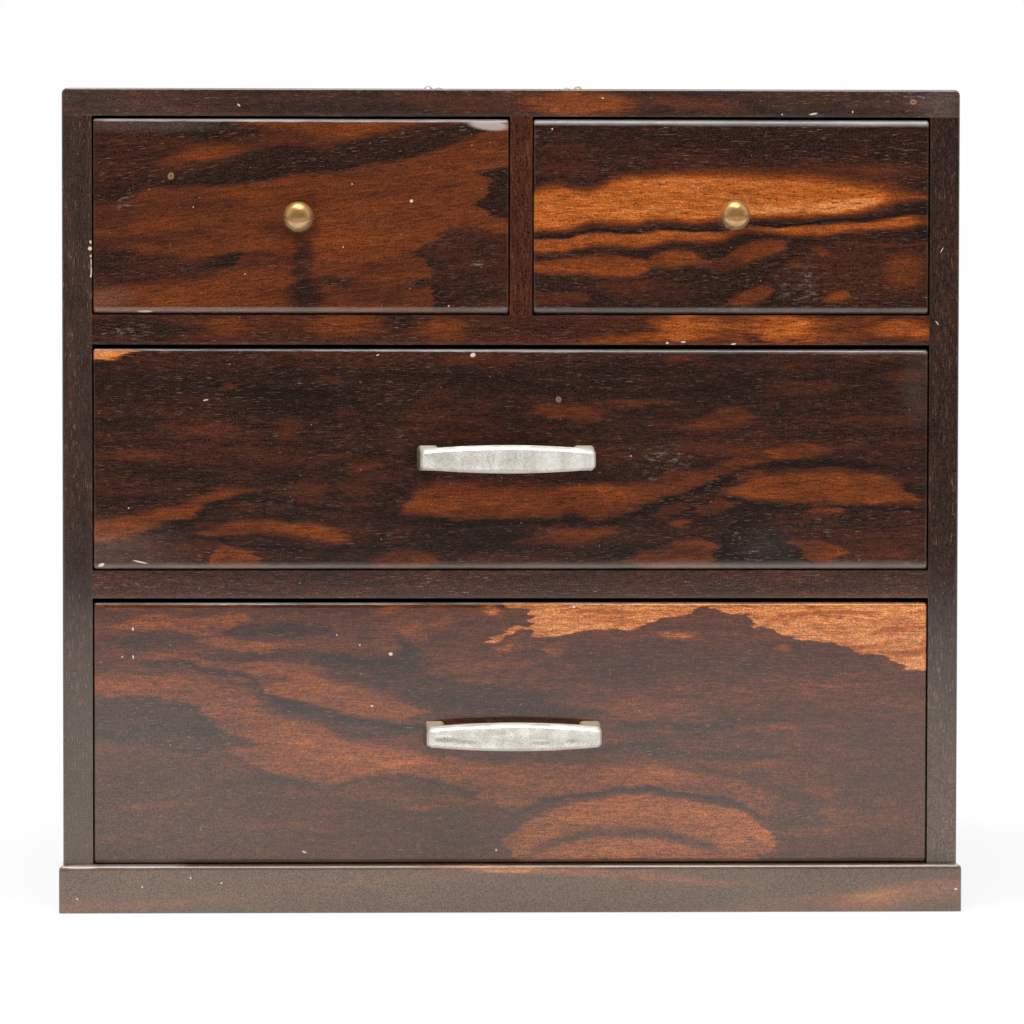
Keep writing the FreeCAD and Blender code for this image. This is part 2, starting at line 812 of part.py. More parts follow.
def case_parts():
    parts = {
        "top_board": top_board(),
        "left_side": left_side(),
        "right_side": right_side(),
        "upper_rail": upper_rail(),
        "lower_rail": lower_rail(),
        "upper_dust_board": upper_dust_board(),
        "lower_dust_board": lower_dust_board(),
        "divider_post": divider_post(),
        "divider_board": divider_board(),
        "back_panel": back_panel(),
        "bottom_board": bottom_board(),
        "top_pegs": peg_group(top_pegs()),
        "plinth_pegs": peg_group(plinth_pegs()),
        "back_pegs": peg_group(back_pegs()),
    }
    parts.update(plinth_rails())
    return parts


def bail_parts():
    return {
        "bail": bail(),
        "left_bail_post": bail_post(-1),
        "right_bail_post": bail_post(1),
        "left_bail_rosette": bail_rosette(-1),
        "right_bail_rosette": bail_rosette(1),
        "bail_nuts": bail_nuts(),
    }


def knobbed_drawer(drawer, offset_x, offset_z):
    x = drawer.middle_x + offset_x
    z = drawer.middle_z + offset_z
    return {
        drawer.name + "_front": drawer.front().cut(knob_hole(x, z)),
        drawer.name + "_knob": knob(x, z),
        drawer.name + "_knob_nut": knob_nut(x, z),
    }


def pulled_drawer(drawer, offset_x, offset_z):
    x = drawer.middle_x + offset_x
    z = drawer.middle_z + offset_z
    return {
        drawer.name + "_front": drawer.front().cut(pull_holes(x, z)),
        drawer.name + "_pull": pull(x, z),
        drawer.name + "_pull_screws": pull_screws(x, z),
    }


def drawer_parts():
    parts = {}
    parts.update(knobbed_drawer(upper_left_drawer, left_knob_offset_x, left_knob_offset_z))
    parts.update(knobbed_drawer(upper_right_drawer, right_knob_offset_x, right_knob_offset_z))
    parts.update(pulled_drawer(middle_drawer, middle_pull_offset_x, middle_pull_offset_z))
    parts.update(pulled_drawer(lower_drawer, lower_pull_offset_x, lower_pull_offset_z))
    for drawer in drawers:
        parts[drawer.name + "_left_side"] = drawer.left_side()
        parts[drawer.name + "_right_side"] = drawer.right_side()
        parts[drawer.name + "_back"] = drawer.back()
        parts[drawer.name + "_bottom"] = drawer.floor_board()
        parts[drawer.name + "_pegs"] = peg_group(drawer.pegs())
    return parts


parts = {}
parts.update(case_parts())
parts.update(bail_parts())
parts.update(drawer_parts())

os.makedirs("parts", exist_ok=True)
for name, shape in parts.items():
    shape.exportStep("parts/" + name + ".step")
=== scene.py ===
import math

import bpy
from mathutils import Matrix, Vector


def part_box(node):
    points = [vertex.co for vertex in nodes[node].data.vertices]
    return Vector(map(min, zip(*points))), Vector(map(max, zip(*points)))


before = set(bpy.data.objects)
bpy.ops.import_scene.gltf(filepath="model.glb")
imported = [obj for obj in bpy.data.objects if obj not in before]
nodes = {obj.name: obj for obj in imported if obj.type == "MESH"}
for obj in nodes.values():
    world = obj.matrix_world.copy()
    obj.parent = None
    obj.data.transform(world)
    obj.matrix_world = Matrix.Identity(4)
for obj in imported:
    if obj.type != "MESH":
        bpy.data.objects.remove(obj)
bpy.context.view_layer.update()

# The photograph and its camera. The places of the wood's figure are read off the photograph in its pixels.
PHOTO_SIDE = 1024
MM = 0.001
FRONT_PLANE = -87.25 * MM
PLINTH_PLANE = -91.75 * MM
PULL_PLANE = -98.75 * MM
CAMERA_DISTANCE = 1.25
CAMERA_X = -0.040
CAMERA_Z = 0.1835
CAMERA_YAW = math.radians(1.412)
CAMERA_PITCH = math.radians(-1.991)
CAMERA_ROLL = math.radians(0.070)
FOCAL_PIXELS = 4126.6
SENSOR_WIDTH = 36.0
SHIFT_X = 0.03
SHIFT_Y = -0.06
PIXELS_PER_METRE = FOCAL_PIXELS / CAMERA_DISTANCE
# The photograph's front widens a little towards its foot, which no level camera shows.
MIDDLE_PIXEL = 511
TRUE_WIDTH_ROW = 432
WIDENING = 2.5e-5


def camera_axes():
    """The camera's place and its right, up and forward directions."""
    place = Vector((CAMERA_X, FRONT_PLANE - CAMERA_DISTANCE, CAMERA_Z))
    forward = Vector((math.sin(CAMERA_YAW) * math.cos(CAMERA_PITCH),
                      math.cos(CAMERA_YAW) * math.cos(CAMERA_PITCH),
                      math.sin(CAMERA_PITCH)))
    level = Vector((math.cos(CAMERA_YAW), -math.sin(CAMERA_YAW), 0.0))
    upright = level.cross(forward)
    right = level * math.cos(CAMERA_ROLL) + upright * math.sin(CAMERA_ROLL)
    up = upright * math.cos(CAMERA_ROLL) - level * math.sin(CAMERA_ROLL)
    return place, right, up, forward


def make_camera():
    place, right, up, forward = camera_axes()
    data = bpy.data.cameras.new("camera")
    data.sensor_width = SENSOR_WIDTH
    data.lens = FOCAL_PIXELS / PHOTO_SIDE * SENSOR_WIDTH
    data.shift_x = SHIFT_X
    data.shift_y = SHIFT_Y
    data.clip_start = 0.05
    data.clip_end = 30.0
    camera = bpy.data.objects.new("camera", data)
    turn = Matrix((right, up, -forward)).transposed().to_4x4()
    camera.matrix_world = Matrix.Translation(place) @ turn
    bpy.context.scene.collection.objects.link(camera)
    bpy.context.scene.camera = camera


def on_plane(px, py, plane):
    """The frame's x and z of what the photograph shows at a pixel, on a plane that faces the front."""
    place, right, up, forward = camera_axes()
    px = MIDDLE_PIXEL + (px - MIDDLE_PIXEL) * (1.0 + WIDENING * (TRUE_WIDTH_ROW - py))
    across = (px - PHOTO_SIDE * (0.5 - SHIFT_X)) / FOCAL_PIXELS
    down = (py - PHOTO_SIDE * (0.5 + SHIFT_Y)) / FOCAL_PIXELS
    ray = forward + right * across - up * down
    point = place + ray * ((plane - place.y) / ray.y)
    return point.x, point.z


class Web:
    """A node tree, built with short calls. A value is a number, a tuple or another node's output."""

    def __init__(self, block, output="OutputMaterial"):
        """Starts an empty tree in a new material or world."""
        self.block = block
        block.use_nodes = True
        self.tree = block.node_tree
        self.tree.nodes.clear()
        self.output = self.put(output)

    def put(self, kind, values=(), **settings):
        """A new node with its settings. The values go to its sockets in their order, or by their names."""
        node = self.tree.nodes.new("ShaderNode" + kind)
        for name, value in settings.items():
            setattr(node, name, value)
        for key, value in values.items() if isinstance(values, dict) else enumerate(values):
            socket = node.inputs[key]
            if isinstance(value, bpy.types.NodeSocket):
                self.tree.links.new(value, socket)
            elif value is not None:
                socket.default_value = (*value, 1.0) if socket.type == "RGBA" else value
        return node

    def close(self, node):
        """Puts the last node's shader on the surface and gives back the material or world."""
        self.tree.links.new(node.outputs[0], self.output.inputs["Surface"])
        return self.block

    def math(self, operation, *values):
        return self.put("Math", values, operation=operation).outputs[0]

    def add(self, a, b):
        return self.math("ADD", a, b)

    def less(self, a, b):
        return self.math("SUBTRACT", a, b)

    def times(self, a, b):
        return self.math("MULTIPLY", a, b)

    def times_add(self, a, b, c):
        return self.math("MULTIPLY_ADD", a, b, c)

    def lower(self, a, b):
        return self.math("MINIMUM", a, b)

    def higher(self, a, b):
        return self.math("MAXIMUM", a, b)

    def vary(self, value, noise, amount):
        """The value raised where the noise is above its middle and lowered where it is below."""
        return self.times_add(self.less(noise, 0.5), amount, value)

    def ramp(self, value, low, high, start=0.0, end=1.0):
        """A smooth step of value from start at low to end at high."""
        values = (value, low, high, start, end)
        return self.put("MapRange", values, interpolation_type="SMOOTHSTEP").outputs[0]

    def place(self):
        """The place in the frame, in metres, as a vector and by the names of the axes."""
        vector = self.put("TexCoord").outputs["Object"]
        return vector, dict(zip("XYZ", self.split(vector)))

    def split(self, vector):
        return self.put("SeparateXYZ", (vector,)).outputs

    def join(self, x, y, z=0.0):
        return self.put("CombineXYZ", (x, y, z)).outputs[0]

    def span(self, vector, point):
        """The distance of the vector from a point."""
        return self.put("VectorMath", (vector, point), operation="DISTANCE").outputs["Value"]

    def length(self, vector):
        return self.put("VectorMath", (vector,), operation="LENGTH").outputs["Value"]

    def noise(self, vector, detail=2.0, roughness=0.5):
        values = {"Vector": vector, "Scale": 1.0, "Detail": detail, "Roughness": roughness}
        return self.put("TexNoise", values).outputs[0]

    def grain(self, vector, along, across, shift=0.0, detail=2.0, roughness=0.5, deep=None):
        """Noise with its changes per metre along, across and through the wood, and a shift of its own."""
        scale = (along, across, across if deep is None else deep)
        shifts = (shift, shift * 1.7, shift * 2.3)
        place = self.put("VectorMath", (vector, scale, shifts), operation="MULTIPLY_ADD").outputs[0]
        return self.noise(place, detail, roughness)

    def cells(self, vector, scale):
        """The distance from the middle of the nearest cell, and a number of its own for each cell."""
        node = self.put("TexVoronoi", {"Vector": vector, "Scale": scale})
        return node.outputs["Distance"], self.split(node.outputs["Color"])[0]

    def colours(self, value, stops):
        node = self.put("ValToRGB", (value,))
        band = node.color_ramp
        while len(band.elements) < len(stops):
            band.elements.new(0.5)
        for element, (place, colour) in zip(band.elements, stops):
            element.position = place
            element.color = (*colour, 1.0)
        return node.outputs[0]

    def blend(self, share, a, b, kind="MIX"):
        """The first colour with a share of the second laid over it."""
        return self.put("Mix", {0: share, 6: a, 7: b}, data_type="RGBA", blend_type=kind).outputs[2]

    def shaded(self, colour, value, low, high, loss, gain):
        """The colour, darker by the loss where the value is low and brighter by the gain where it is high."""
        shade = self.ramp(value, low, high, 1.0 - loss, 1.0 + gain)
        return self.blend(1.0, colour, self.join(shade, shade, shade), "MULTIPLY")

    def bump(self, height, distance, strength, normal=None):
        values = {"Height": height, "Distance": distance, "Strength": strength, "Normal": normal}
        return self.put("Bump", values).outputs[0]

    def shade(self, **inputs):
        values = {name.replace("_", " "): value for name, value in inputs.items()}
        return self.close(self.put("BsdfPrincipled", values))


class Figure:
    """The wood's figure on one board, drawn in the photograph's pixels.

    A line is the x and y of its points in turn. A patch gives the tone between two lines: its tone, how soft its
    top and foot edges are, its top line and its foot line. A vein is its change of tone, its width above and
    below, and its line. A hill is x, y, half width, half height and change of tone. Specks, dots, painted facet
    highlights and scuffs are x, y, half width and half height. Hills and these four may end in a tilt in degrees.
    A pale film is x, y, half width, half height and its strength; it is partly grey wear and partly painted sheen.
    The top edge carries a painted highlight and the foot edge a painted sheen: the thickness in millimetres at the
    left and right, and the strength there.
    """

    patches = veins = hills = mists = specks = dots = facets = scuffs = ()
    plane = FRONT_PLANE
    # How uneven the tone is, in long streaks and in short clouds, how far the grain tilts, how far the figure's
    # edges wander and how strong the fine grain is
    streaks = 0.30
    mottle = 0.10
    lean = 0.0
    ragged = 1.0
    fine = 1.0
    # A painted sheen that stands for the white floor's reflection in the varnish, growing from a height down to
    # the foot
    floor_sheen = 0.0
    floor_sheen_height = 90 * MM
    # The painted highlight along the top edge, the painted sheen along the foot edge, and how worn the sides are
    top_highlight = (0.9, 0.9, 0.15, 0.15)
    foot_sheen = (0.9, 0.9, 0.06, 0.06)
    side_edge = 0.15

    def __init__(self, base, **given):
        self.base = base
        for name, value in given.items():
            setattr(self, name, value)


def lens(tone, soft_top, soft_foot, top, foot):
    """A patch whose foot line starts and ends where its top line does, so that its foot leaves these out."""
    return tone, soft_top, soft_foot, top, (*top[:2], *foot, *top[-2:])


# How far from an ellipse's centre a hill, a film and a stain start to fade and where they end, with its edge at 1
HILL_FADE = (0.45, 1.35)
SHEEN_AND_WEAR_FADE = (0.20, 1.60)
STAIN_FADE = (0.60, 1.30)
# The share of the board over which a vein's end fades, where it doesn't run off the board
VEIN_END = 0.05
BOARD_END = 0.02


def reach(web, flat, plane, px, py, half_width, half_height, tilt=0.0):
    """The distance from an ellipse's centre, where 1 is its edge."""
    x, z = on_plane(px, py, plane)
    scale = (half_width / PIXELS_PER_METRE, half_height / PIXELS_PER_METRE, 1.0)
    turn = (0.0, 0.0, math.radians(tilt))
    values = {"Vector": flat, "Location": (x, z, 0.0), "Rotation": turn, "Scale": scale}
    return web.length(web.put("Mapping", values, vector_type="TEXTURE").outputs[0])


def draw_line(web, plane, board, share, line):
    """A line of the photograph, as shares of the board, with the shares of its two ends."""
    low, high = board
    places = []
    for px, py in zip(line[::2], line[1::2]):
        x, z = on_plane(px, py, plane)
        places.append(((x - low.x) / (high.x - low.x), (z - low.z) / (high.z - low.z)))
    node = web.put("FloatCurve", {"Value": share})
    node.mapping.use_clip = False
    node.mapping.extend = "HORIZONTAL"
    curve = node.mapping.curves[0]
    for point, place in zip(curve.points, (places[0], places[-1])):
        point.location = place
    for place in places[1:-1]:
        curve.points.new(*place)
    for point in curve.points:
        point.handle_type = "AUTO_CLAMPED"
    node.mapping.update()
    return node.outputs[0], places[0][0], places[-1][0]


def draw_figure(web, figure, board, along, up):
    """The tone of the figure at a place along and up the board."""
    low, high = board
    tone = figure.base
    plane = figure.plane
    length = high.x - low.x
    height = high.z - low.z
    share = web.times_add(along, 1.0 / length, -low.x / length)
    level = web.times_add(up, 1.0 / height, -low.z / height)
    pixel = 1.0 / (PIXELS_PER_METRE * height)
    flat = web.join(along, up)
    for patch_tone, soft_top, soft_foot, top, foot in figure.patches:
        under = web.less(draw_line(web, plane, board, share, top)[0], level)
        over = web.less(level, draw_line(web, plane, board, share, foot)[0])
        inside = web.lower(web.ramp(under, 0.0, soft_top * pixel), web.ramp(over, 0.0, soft_foot * pixel))
        tone = web.times_add(inside, web.less(patch_tone, tone), tone)
    for px, py, half_width, half_height, change, *tilt in figure.hills:
        distance = reach(web, flat, plane, px, py, half_width, half_height, *tilt)
        tone = web.add(web.ramp(distance, *HILL_FADE, change, 0.0), tone)
    for change, width_up, width_down, pixels in figure.veins:
        line, start, end = draw_line(web, plane, board, share, pixels)
        above = web.less(level, line)
        upper = web.ramp(above, 0.0, width_up * pixel, 1.0, 0.0)
        vein = web.times(upper, web.ramp(above, -width_down * pixel, 0.0, 0.0, change))
        if start > BOARD_END:
            vein = web.times(vein, web.ramp(share, start, start + VEIN_END))
        if end < 1.0 - BOARD_END:
            vein = web.times(vein, web.ramp(share, end - VEIN_END, end, 1.0, 0.0))
        tone = web.add(vein, tone)
    return tone


def spots(web, flat, figure, places, soft=0.25):
    """A mask of small spots in the plane of the front, with how soft their edges are."""
    mask = 0.0
    for place in places:
        distance = reach(web, flat, figure.plane, *place)
        mask = web.higher(web.ramp(distance, 1.0 - soft, 1.0 + soft, 1.0, 0.0), mask)
    return mask


# Rosewood: its colours from the darkest tone to the palest
ROSEWOOD = (
    (0.00, (0.016, 0.0080, 0.0060)),
    (0.22, (0.029, 0.0115, 0.0075)),
    (0.42, (0.070, 0.0190, 0.0085)),
    (0.58, (0.140, 0.0340, 0.0095)),
    (0.74, (0.240, 0.0560, 0.0110)),
    (0.88, (0.400, 0.1000, 0.0150)),
    (1.00, (0.600, 0.2100, 0.0600)),
)
PORE = (0.022, 0.008, 0.005)
# Dust in the pores of dark wood, which also stands for a painted sheen off them
DUST_AND_SHEEN = (0.20, 0.14, 0.11)
VARNISH_SPECK = (0.42, 0.33, 0.23)
SCUFF = (0.30, 0.26, 0.24)
# A pale film, partly grey wear and partly a painted sheen of the varnish
SHEEN_AND_WEAR = (0.240, 0.195, 0.165)
# A painted sheen near the foot, for the white floor's reflection in the varnish
FLOOR_SHEEN = (0.242, 0.178, 0.128)
# The worn sides' colour, the painted highlight of the top edge and the painted sheen of the foot edge
WORN_SIDE = (0.22, 0.15, 0.11)
PAINTED_TOP_HIGHLIGHT = (0.92, 0.88, 0.85)
PAINTED_FOOT_SHEEN = (0.34, 0.27, 0.23)
# A painted highlight on a planed facet of an edge
FACET_HIGHLIGHT = (0.50, 0.42, 0.39)
SPECK = (0.68, 0.56, 0.42)
DOT_RIM = (0.34, 0.21, 0.11)
DOT = (0.12, 0.06, 0.03)
# Noise in the wood: changes per metre along and across the grain, shift, detail and roughness
WOOD_NOISE = {
    "swell": (13.0, 30.0, 1.0, 2.0, 0.5),
    "sway": (45.0, 110.0, 0.0, 3.0, 0.5),
    "fine_sway": (150.0, 650.0, 0.0, 3.0, 0.6),
    "fingers": (60.0, 700.0, 0.0, 4.0, 0.6),
    "streaks": (24.0, 210.0, 0.0, 6.0, 0.62),
    "mottle": (110.0, 330.0, 6.0, 4.0, 0.6),
    "fibres": (220.0, 1800.0, 0.0, 4.0, 0.7),
    "pores": (260.0, 2600.0, 2.0, 1.0, 0.5),
    "dust_and_sheen": (330.0, 3300.0, 5.0, 1.0, 0.5),
    "scratches": (260.0, 900.0, 7.0, 4.0, 0.7),
    "cloud": (12.0, 30.0, 3.0, 3.0, 0.5),
    "grit": (2200.0, 2900.0, 9.0, 1.0, 0.7),
    "rub": (60.0, 240.0, 4.0, 5.0, 0.7),
    "wear_and_sheen": (22.0, 22.0, 8.0, 3.0, 0.5),
    "waves": (45.0, 130.0, 0.0, 2.0, 0.5),
}
# How far the grain bends, the figure's edges wander and run out in fingers, and the worn sides and the painted top
# highlight and foot sheen wander
BEND = 4.0 * MM
SWAY = 3.5 * MM
FINE_SWAY = 3.0 * MM
FINGERS = 14.0 * MM
SIDE_WANDER = -2.5 * MM
EDGE_WANDER = -1.2 * MM
# How wide the worn side is, and how far behind the board's face the painted highlight of the top and the painted
# sheen of the foot end
SIDE_WEAR = 0.8 * MM
EDGE_LIGHT_DEPTH = (0.8 * MM, 2.0 * MM)
FIBRE_TONE = 0.26
FIBRE_SHADE = 0.18
SPECKS_PER_METRE = 330.0


def rosewood(name, grain, seed, figure, board):
    """Varnished rosewood. Grain names the frame's axes along the grain, across it and through the board."""
    web = Web(bpy.data.materials.new(name))
    axes = web.place()[1]
    along, up, deep = (axes[axis] for axis in grain)
    x, z = axes["X"], axes["Z"]
    flat = web.join(x, z)
    straight = web.join(along, up, deep)
    low, high = board
    fine = figure.fine

    def noise(kind, vector):
        per_along, per_across, shift, detail, roughness = WOOD_NOISE[kind]
        return web.grain(vector, per_along, per_across, seed + shift, detail, roughness)

    # The grain bends, and the figure's edges wander and run out along the grain in ragged fingers.
    level = web.times_add(along, -figure.lean, up)
    wood = web.join(along, web.vary(level, noise("swell", straight), BEND), deep)
    tone = figure.base
    if figure.patches or figure.hills or figure.veins:
        up = web.vary(up, noise("sway", straight), SWAY * figure.ragged)
        up = web.vary(up, noise("fine_sway", wood), FINE_SWAY * figure.ragged)
        along = web.vary(along, noise("fingers", wood), FINGERS * figure.ragged)
        tone = draw_figure(web, figure, board, along, up)
    streaks, mottle, fibres = (noise(kind, wood) for kind in ("streaks", "mottle", "fibres"))
    tone = web.vary(tone, streaks, figure.streaks)
    tone = web.vary(tone, mottle, figure.mottle)
    tone = web.vary(tone, fibres, FIBRE_TONE * fine)
    colour = web.colours(tone, ROSEWOOD)
    colour = web.shaded(colour, fibres, 0.34, 0.66, FIBRE_SHADE * fine, FIBRE_SHADE * fine)
    # Pores are short lines along the grain, dark in pale wood; in dark wood they hold dust and a painted sheen,
    # pale dashes for the light they catch.
    pore = web.ramp(noise("pores", wood), 0.60, 0.70)
    dust_and_sheen_share = web.ramp(tone, 0.25, 0.60, 1.0, 0.0)
    dark = web.times(pore, web.ramp(dust_and_sheen_share, 0.0, 1.0, 0.60 * fine, 0.15 * fine))
    colour = web.blend(dark, colour, PORE)
    dust_and_sheen = web.ramp(noise("dust_and_sheen", wood), 0.61, 0.72)
    dust_and_sheen = web.times(dust_and_sheen, web.ramp(streaks, 0.40, 0.60, 0.20 * fine, 0.60 * fine))
    colour = web.blend(web.times(dust_and_sheen, dust_and_sheen_share), colour, DUST_AND_SHEEN)
    # Specks of dust in the varnish, in about a quarter of the cells
    distance, pick = web.cells(wood, SPECKS_PER_METRE)
    speck = web.times(web.ramp(distance, 0.030, 0.085, 0.60, 0.0), web.ramp(pick, 0.76, 0.78))
    colour = web.blend(speck, colour, VARNISH_SPECK)
    # Scuffs; pale films, partly grey wear and partly painted sheen; and near the foot a painted sheen that stands
    # for the white floor's reflection
    if figure.scuffs:
        scratches = web.ramp(noise("scratches", straight), 0.52, 0.66, 0.0, 0.40)
        colour = web.blend(web.times(scratches, spots(web, flat, figure, figure.scuffs, 0.6)), colour, SCUFF)
    for *place, strength in figure.mists:
        film = web.ramp(reach(web, flat, figure.plane, *place), *SHEEN_AND_WEAR_FADE, strength, 0.0)
        colour = web.blend(web.times(film, web.ramp(mottle, 0.25, 0.70, 0.6, 1.2)), colour, SHEEN_AND_WEAR)
    if figure.floor_sheen:
        share = web.ramp(z, figure.floor_sheen_height, 0.0, 0.0, figure.floor_sheen)
        share = web.times(share, web.ramp(noise("cloud", straight), 0.25, 0.70, 0.75, 1.15))
        colour = web.blend(share, colour, FLOOR_SHEEN)
    # A fine grain over it all
    colour = web.shaded(colour, noise("grit", straight), 0.22, 0.78, 0.50 * fine, 0.52 * fine)
    # Pale worn sides, a painted highlight along the top edge and a painted sheen along the foot edge
    rub = noise("rub", straight)
    wear_and_sheen = web.ramp(noise("wear_and_sheen", straight), 0.36, 0.60, 0.35, 1.0)
    sides = web.vary(web.lower(web.less(x, low.x), web.less(high.x, x)), rub, SIDE_WANDER)
    share = web.times(web.ramp(sides, 0.0, SIDE_WEAR, figure.side_edge, 0.0), wear_and_sheen)
    colour = web.blend(share, colour, WORN_SIDE)
    face = web.ramp(axes["Y"], *(figure.plane + depth for depth in EDGE_LIGHT_DEPTH), 1.0, 0.0)
    for edge, gap, tint in ((figure.top_highlight, web.less(high.z, z), PAINTED_TOP_HIGHLIGHT),
                            (figure.foot_sheen, web.less(z, low.z), PAINTED_FOOT_SHEEN)):
        if edge is None:
            continue
        left, right, left_share, right_share = edge
        thickness = web.ramp(x, low.x, high.x, left * MM, right * MM)
        strength = web.times(web.ramp(x, low.x, high.x, left_share, right_share), face)
        near = web.ramp(web.math("DIVIDE", web.vary(gap, rub, EDGE_WANDER), thickness), 0.3, 1.5, 1.0, 0.0)
        share = web.times(web.times(near, strength), web.ramp(wear_and_sheen, 0.35, 1.0, 0.65, 1.0))
        colour = web.blend(share, colour, tint)
    # Painted chips and marks, and painted highlights on planed facets: places, softness, strength and colour
    pits = [(px, py, half_width * 0.4, half_height * 0.4, *tilt)
            for px, py, half_width, half_height, *tilt in figure.dots]
    for places, soft, strength, tint in ((figure.facets, 0.3, 0.75, FACET_HIGHLIGHT), (figure.specks, 0.25, 1.0, SPECK),
                                         (figure.dots, 0.4, 0.8, DOT_RIM), (pits, 0.25, 1.0, DOT)):
        if places:
            colour = web.blend(web.times(spots(web, flat, figure, places, soft), strength), colour, tint)
    normal = web.bump(web.times_add(pore, -0.6, fibres), 0.05 * MM, 0.5)
    normal = web.bump(noise("waves", wood), 0.12 * MM, 0.6, normal)
    return web.shade(Base_Color=colour, Roughness=web.times_add(streaks, 0.16, 0.26), Normal=normal,
                     Specular_IOR_Level=0.05, Coat_Weight=1.0, Coat_Roughness=0.09, Coat_IOR=1.6)


def plain_wood(name, grain, seed, pale, dark, growth, sheen):
    """Bare wood with growth lines along the grain, so many per metre across it."""
    web = Web(bpy.data.materials.new(name))
    axes = web.place()[1]
    wood = web.join(*(axes[axis] for axis in grain))
    bend = web.grain(wood, 7.0, 30.0, seed)
    line = web.times_add(bend, 26.0, web.times(axes[grain[1]], growth))
    rings = web.ramp(web.math("PINGPONG", line, 1.0), 0.45, 1.0)
    fibres = web.grain(wood, 60.0, 1500.0, seed, detail=4.0, roughness=0.65)
    stains = web.grain(wood, 12.0, 25.0, seed, detail=4.0)
    tone = web.vary(web.times_add(rings, 0.45, web.times(fibres, 0.5)), stains, 0.7)
    colour = web.colours(tone, ((0.15, pale), (0.95, dark)))
    normal = web.bump(fibres, 0.08 * MM, 0.6)
    return web.shade(Base_Color=colour, Roughness=web.times_add(fibres, 0.2, sheen), Normal=normal)


# The painted marks of the metal: a knob's brown face, a tarnish that also stands for a painted reflection of the
# dim room, paler above and painted darker below its middle as shade; and a pull's bevels, the upper one painted
# darker as shade under the overhead light, and its left end
KNOB_TARNISH_AND_REFLECTION = (0.60, 0.32, 0.105)
KNOB_LOWER_SHADE = (0.28, 0.14, 0.045)
KNOB_FACE_RISE = 4.3 * MM
KNOB_FACE_EDGE = (6.0 * MM, 6.5 * MM)
KNOB_FACE_MIDDLE = 0.6 * MM
TURNS_PER_METRE = 1900.0
BEVEL = (0.42, 0.39, 0.33)
UPPER_BEVEL_SHADE = (0.34, 0.325, 0.28)
PULL_END = (0.15, 0.11, 0.055)


def metal(name, seed, bright, dull, stain, metallic, rough_low, rough_high, pits, stains=(),
          bar=None, legs_colour=None, face=None, upright=1.0):
    """Worn metal with dull clouds, fine pits and stains at places of the photograph.

    A bar is a pull's box: its bevels are duller, the upper bevel painted darker as shade under the overhead light,
    and its legs duller and browner. A face is a knob's middle: the ball is browned there with a tarnish that also
    stands for a painted reflection of the dim room in front, painted darker below the middle as shade, and turning
    marks run round it. Upright is how far the clouds run up the bar."""
    web = Web(bpy.data.materials.new(name))
    place, axes = web.place()
    x, y, z = axes.values()
    clouds = web.grain(place, 240.0, 420.0, seed, detail=5.0, roughness=0.65, deep=420.0 / upright)
    grit = web.grain(place, 2500.0, 2500.0, seed, detail=2.0, roughness=0.75)
    colour = web.blend(web.ramp(clouds, 0.36, 0.64), bright, dull)
    flat = web.join(x, z)
    relief = web.times(grit, 0.5)
    rough = web.ramp(clouds, 0.35, 0.68, rough_low, rough_high)
    if face is not None:
        # The brown face is a disc that leaves a bright crescent below it: a tarnish that also stands for a painted
        # reflection of the dim room in front, and below the middle it is painted darker as shade.
        tarnish_and_reflection = web.ramp(web.span(flat, (face.x, face.z + KNOB_FACE_RISE, 0.0)), *KNOB_FACE_EDGE, 0.92, 0.0)
        tarnish_and_reflection = web.times(tarnish_and_reflection, web.ramp(grit, 0.30, 0.55, 0.75, 1.0))
        # Below the middle the face is painted darker, as shade.
        lower = web.ramp(z, face.z + KNOB_FACE_MIDDLE, face.z - KNOB_FACE_MIDDLE, 0.0, 0.75)
        colour = web.blend(tarnish_and_reflection, colour, web.blend(lower, KNOB_TARNISH_AND_REFLECTION, KNOB_LOWER_SHADE))
        rough = web.times_add(tarnish_and_reflection, 0.20, rough)
        turns = web.times(web.span(flat, (face.x, face.z, 0.0)), TURNS_PER_METRE)
        turns = web.noise(web.join(turns, seed))
        colour = web.blend(web.ramp(turns, 0.46, 0.60, 0.0, 0.20), colour, stain)
        relief = web.times_add(turns, 0.3, web.times(grit, 0.15))
    colour = web.blend(web.ramp(grit, 0.50, 0.66, 0.0, pits), colour, stain)
    if bar is not None:
        low, high = bar
        middle = (low.z + high.z) / 2.0
        bevel = web.ramp(y, PULL_PLANE + 0.2 * MM, PULL_PLANE + 0.8 * MM)
        upper = web.times(bevel, web.ramp(z, middle + 0.8 * MM, middle + 1.8 * MM))
        colour = web.blend(web.times(bevel, 0.35), colour, BEVEL)
        # The upper bevel is painted darker: painted shade where the overhead light falls, to hold down its
        # highlight
        colour = web.blend(web.times(upper, 0.55), colour, UPPER_BEVEL_SHADE)
        rough = web.times_add(upper, 0.22, rough)
        legs = web.ramp(y, PULL_PLANE + 2.9 * MM, PULL_PLANE + 3.5 * MM, 0.0, 0.9)
        colour = web.blend(legs, colour, legs_colour)
        end = web.ramp(x, low.x + 1.1 * MM, low.x + 0.7 * MM)
        colour = web.blend(web.times(end, web.ramp(grit, 0.30, 0.60, 0.7, 1.0)), colour, PULL_END)
    for *spot, strength in stains:
        area = web.ramp(reach(web, flat, PULL_PLANE, *spot), *STAIN_FADE, strength, 0.0)
        colour = web.blend(web.times(area, web.ramp(grit, 0.40, 0.60, 0.35, 1.0)), colour, stain)
    normal = web.bump(relief, 0.03 * MM, 0.5)
    return web.shade(Base_Color=colour, Metallic=metallic, Roughness=rough, Normal=normal)


def paint(name, material):
    for slot in nodes[name].material_slots:
        slot.material = material


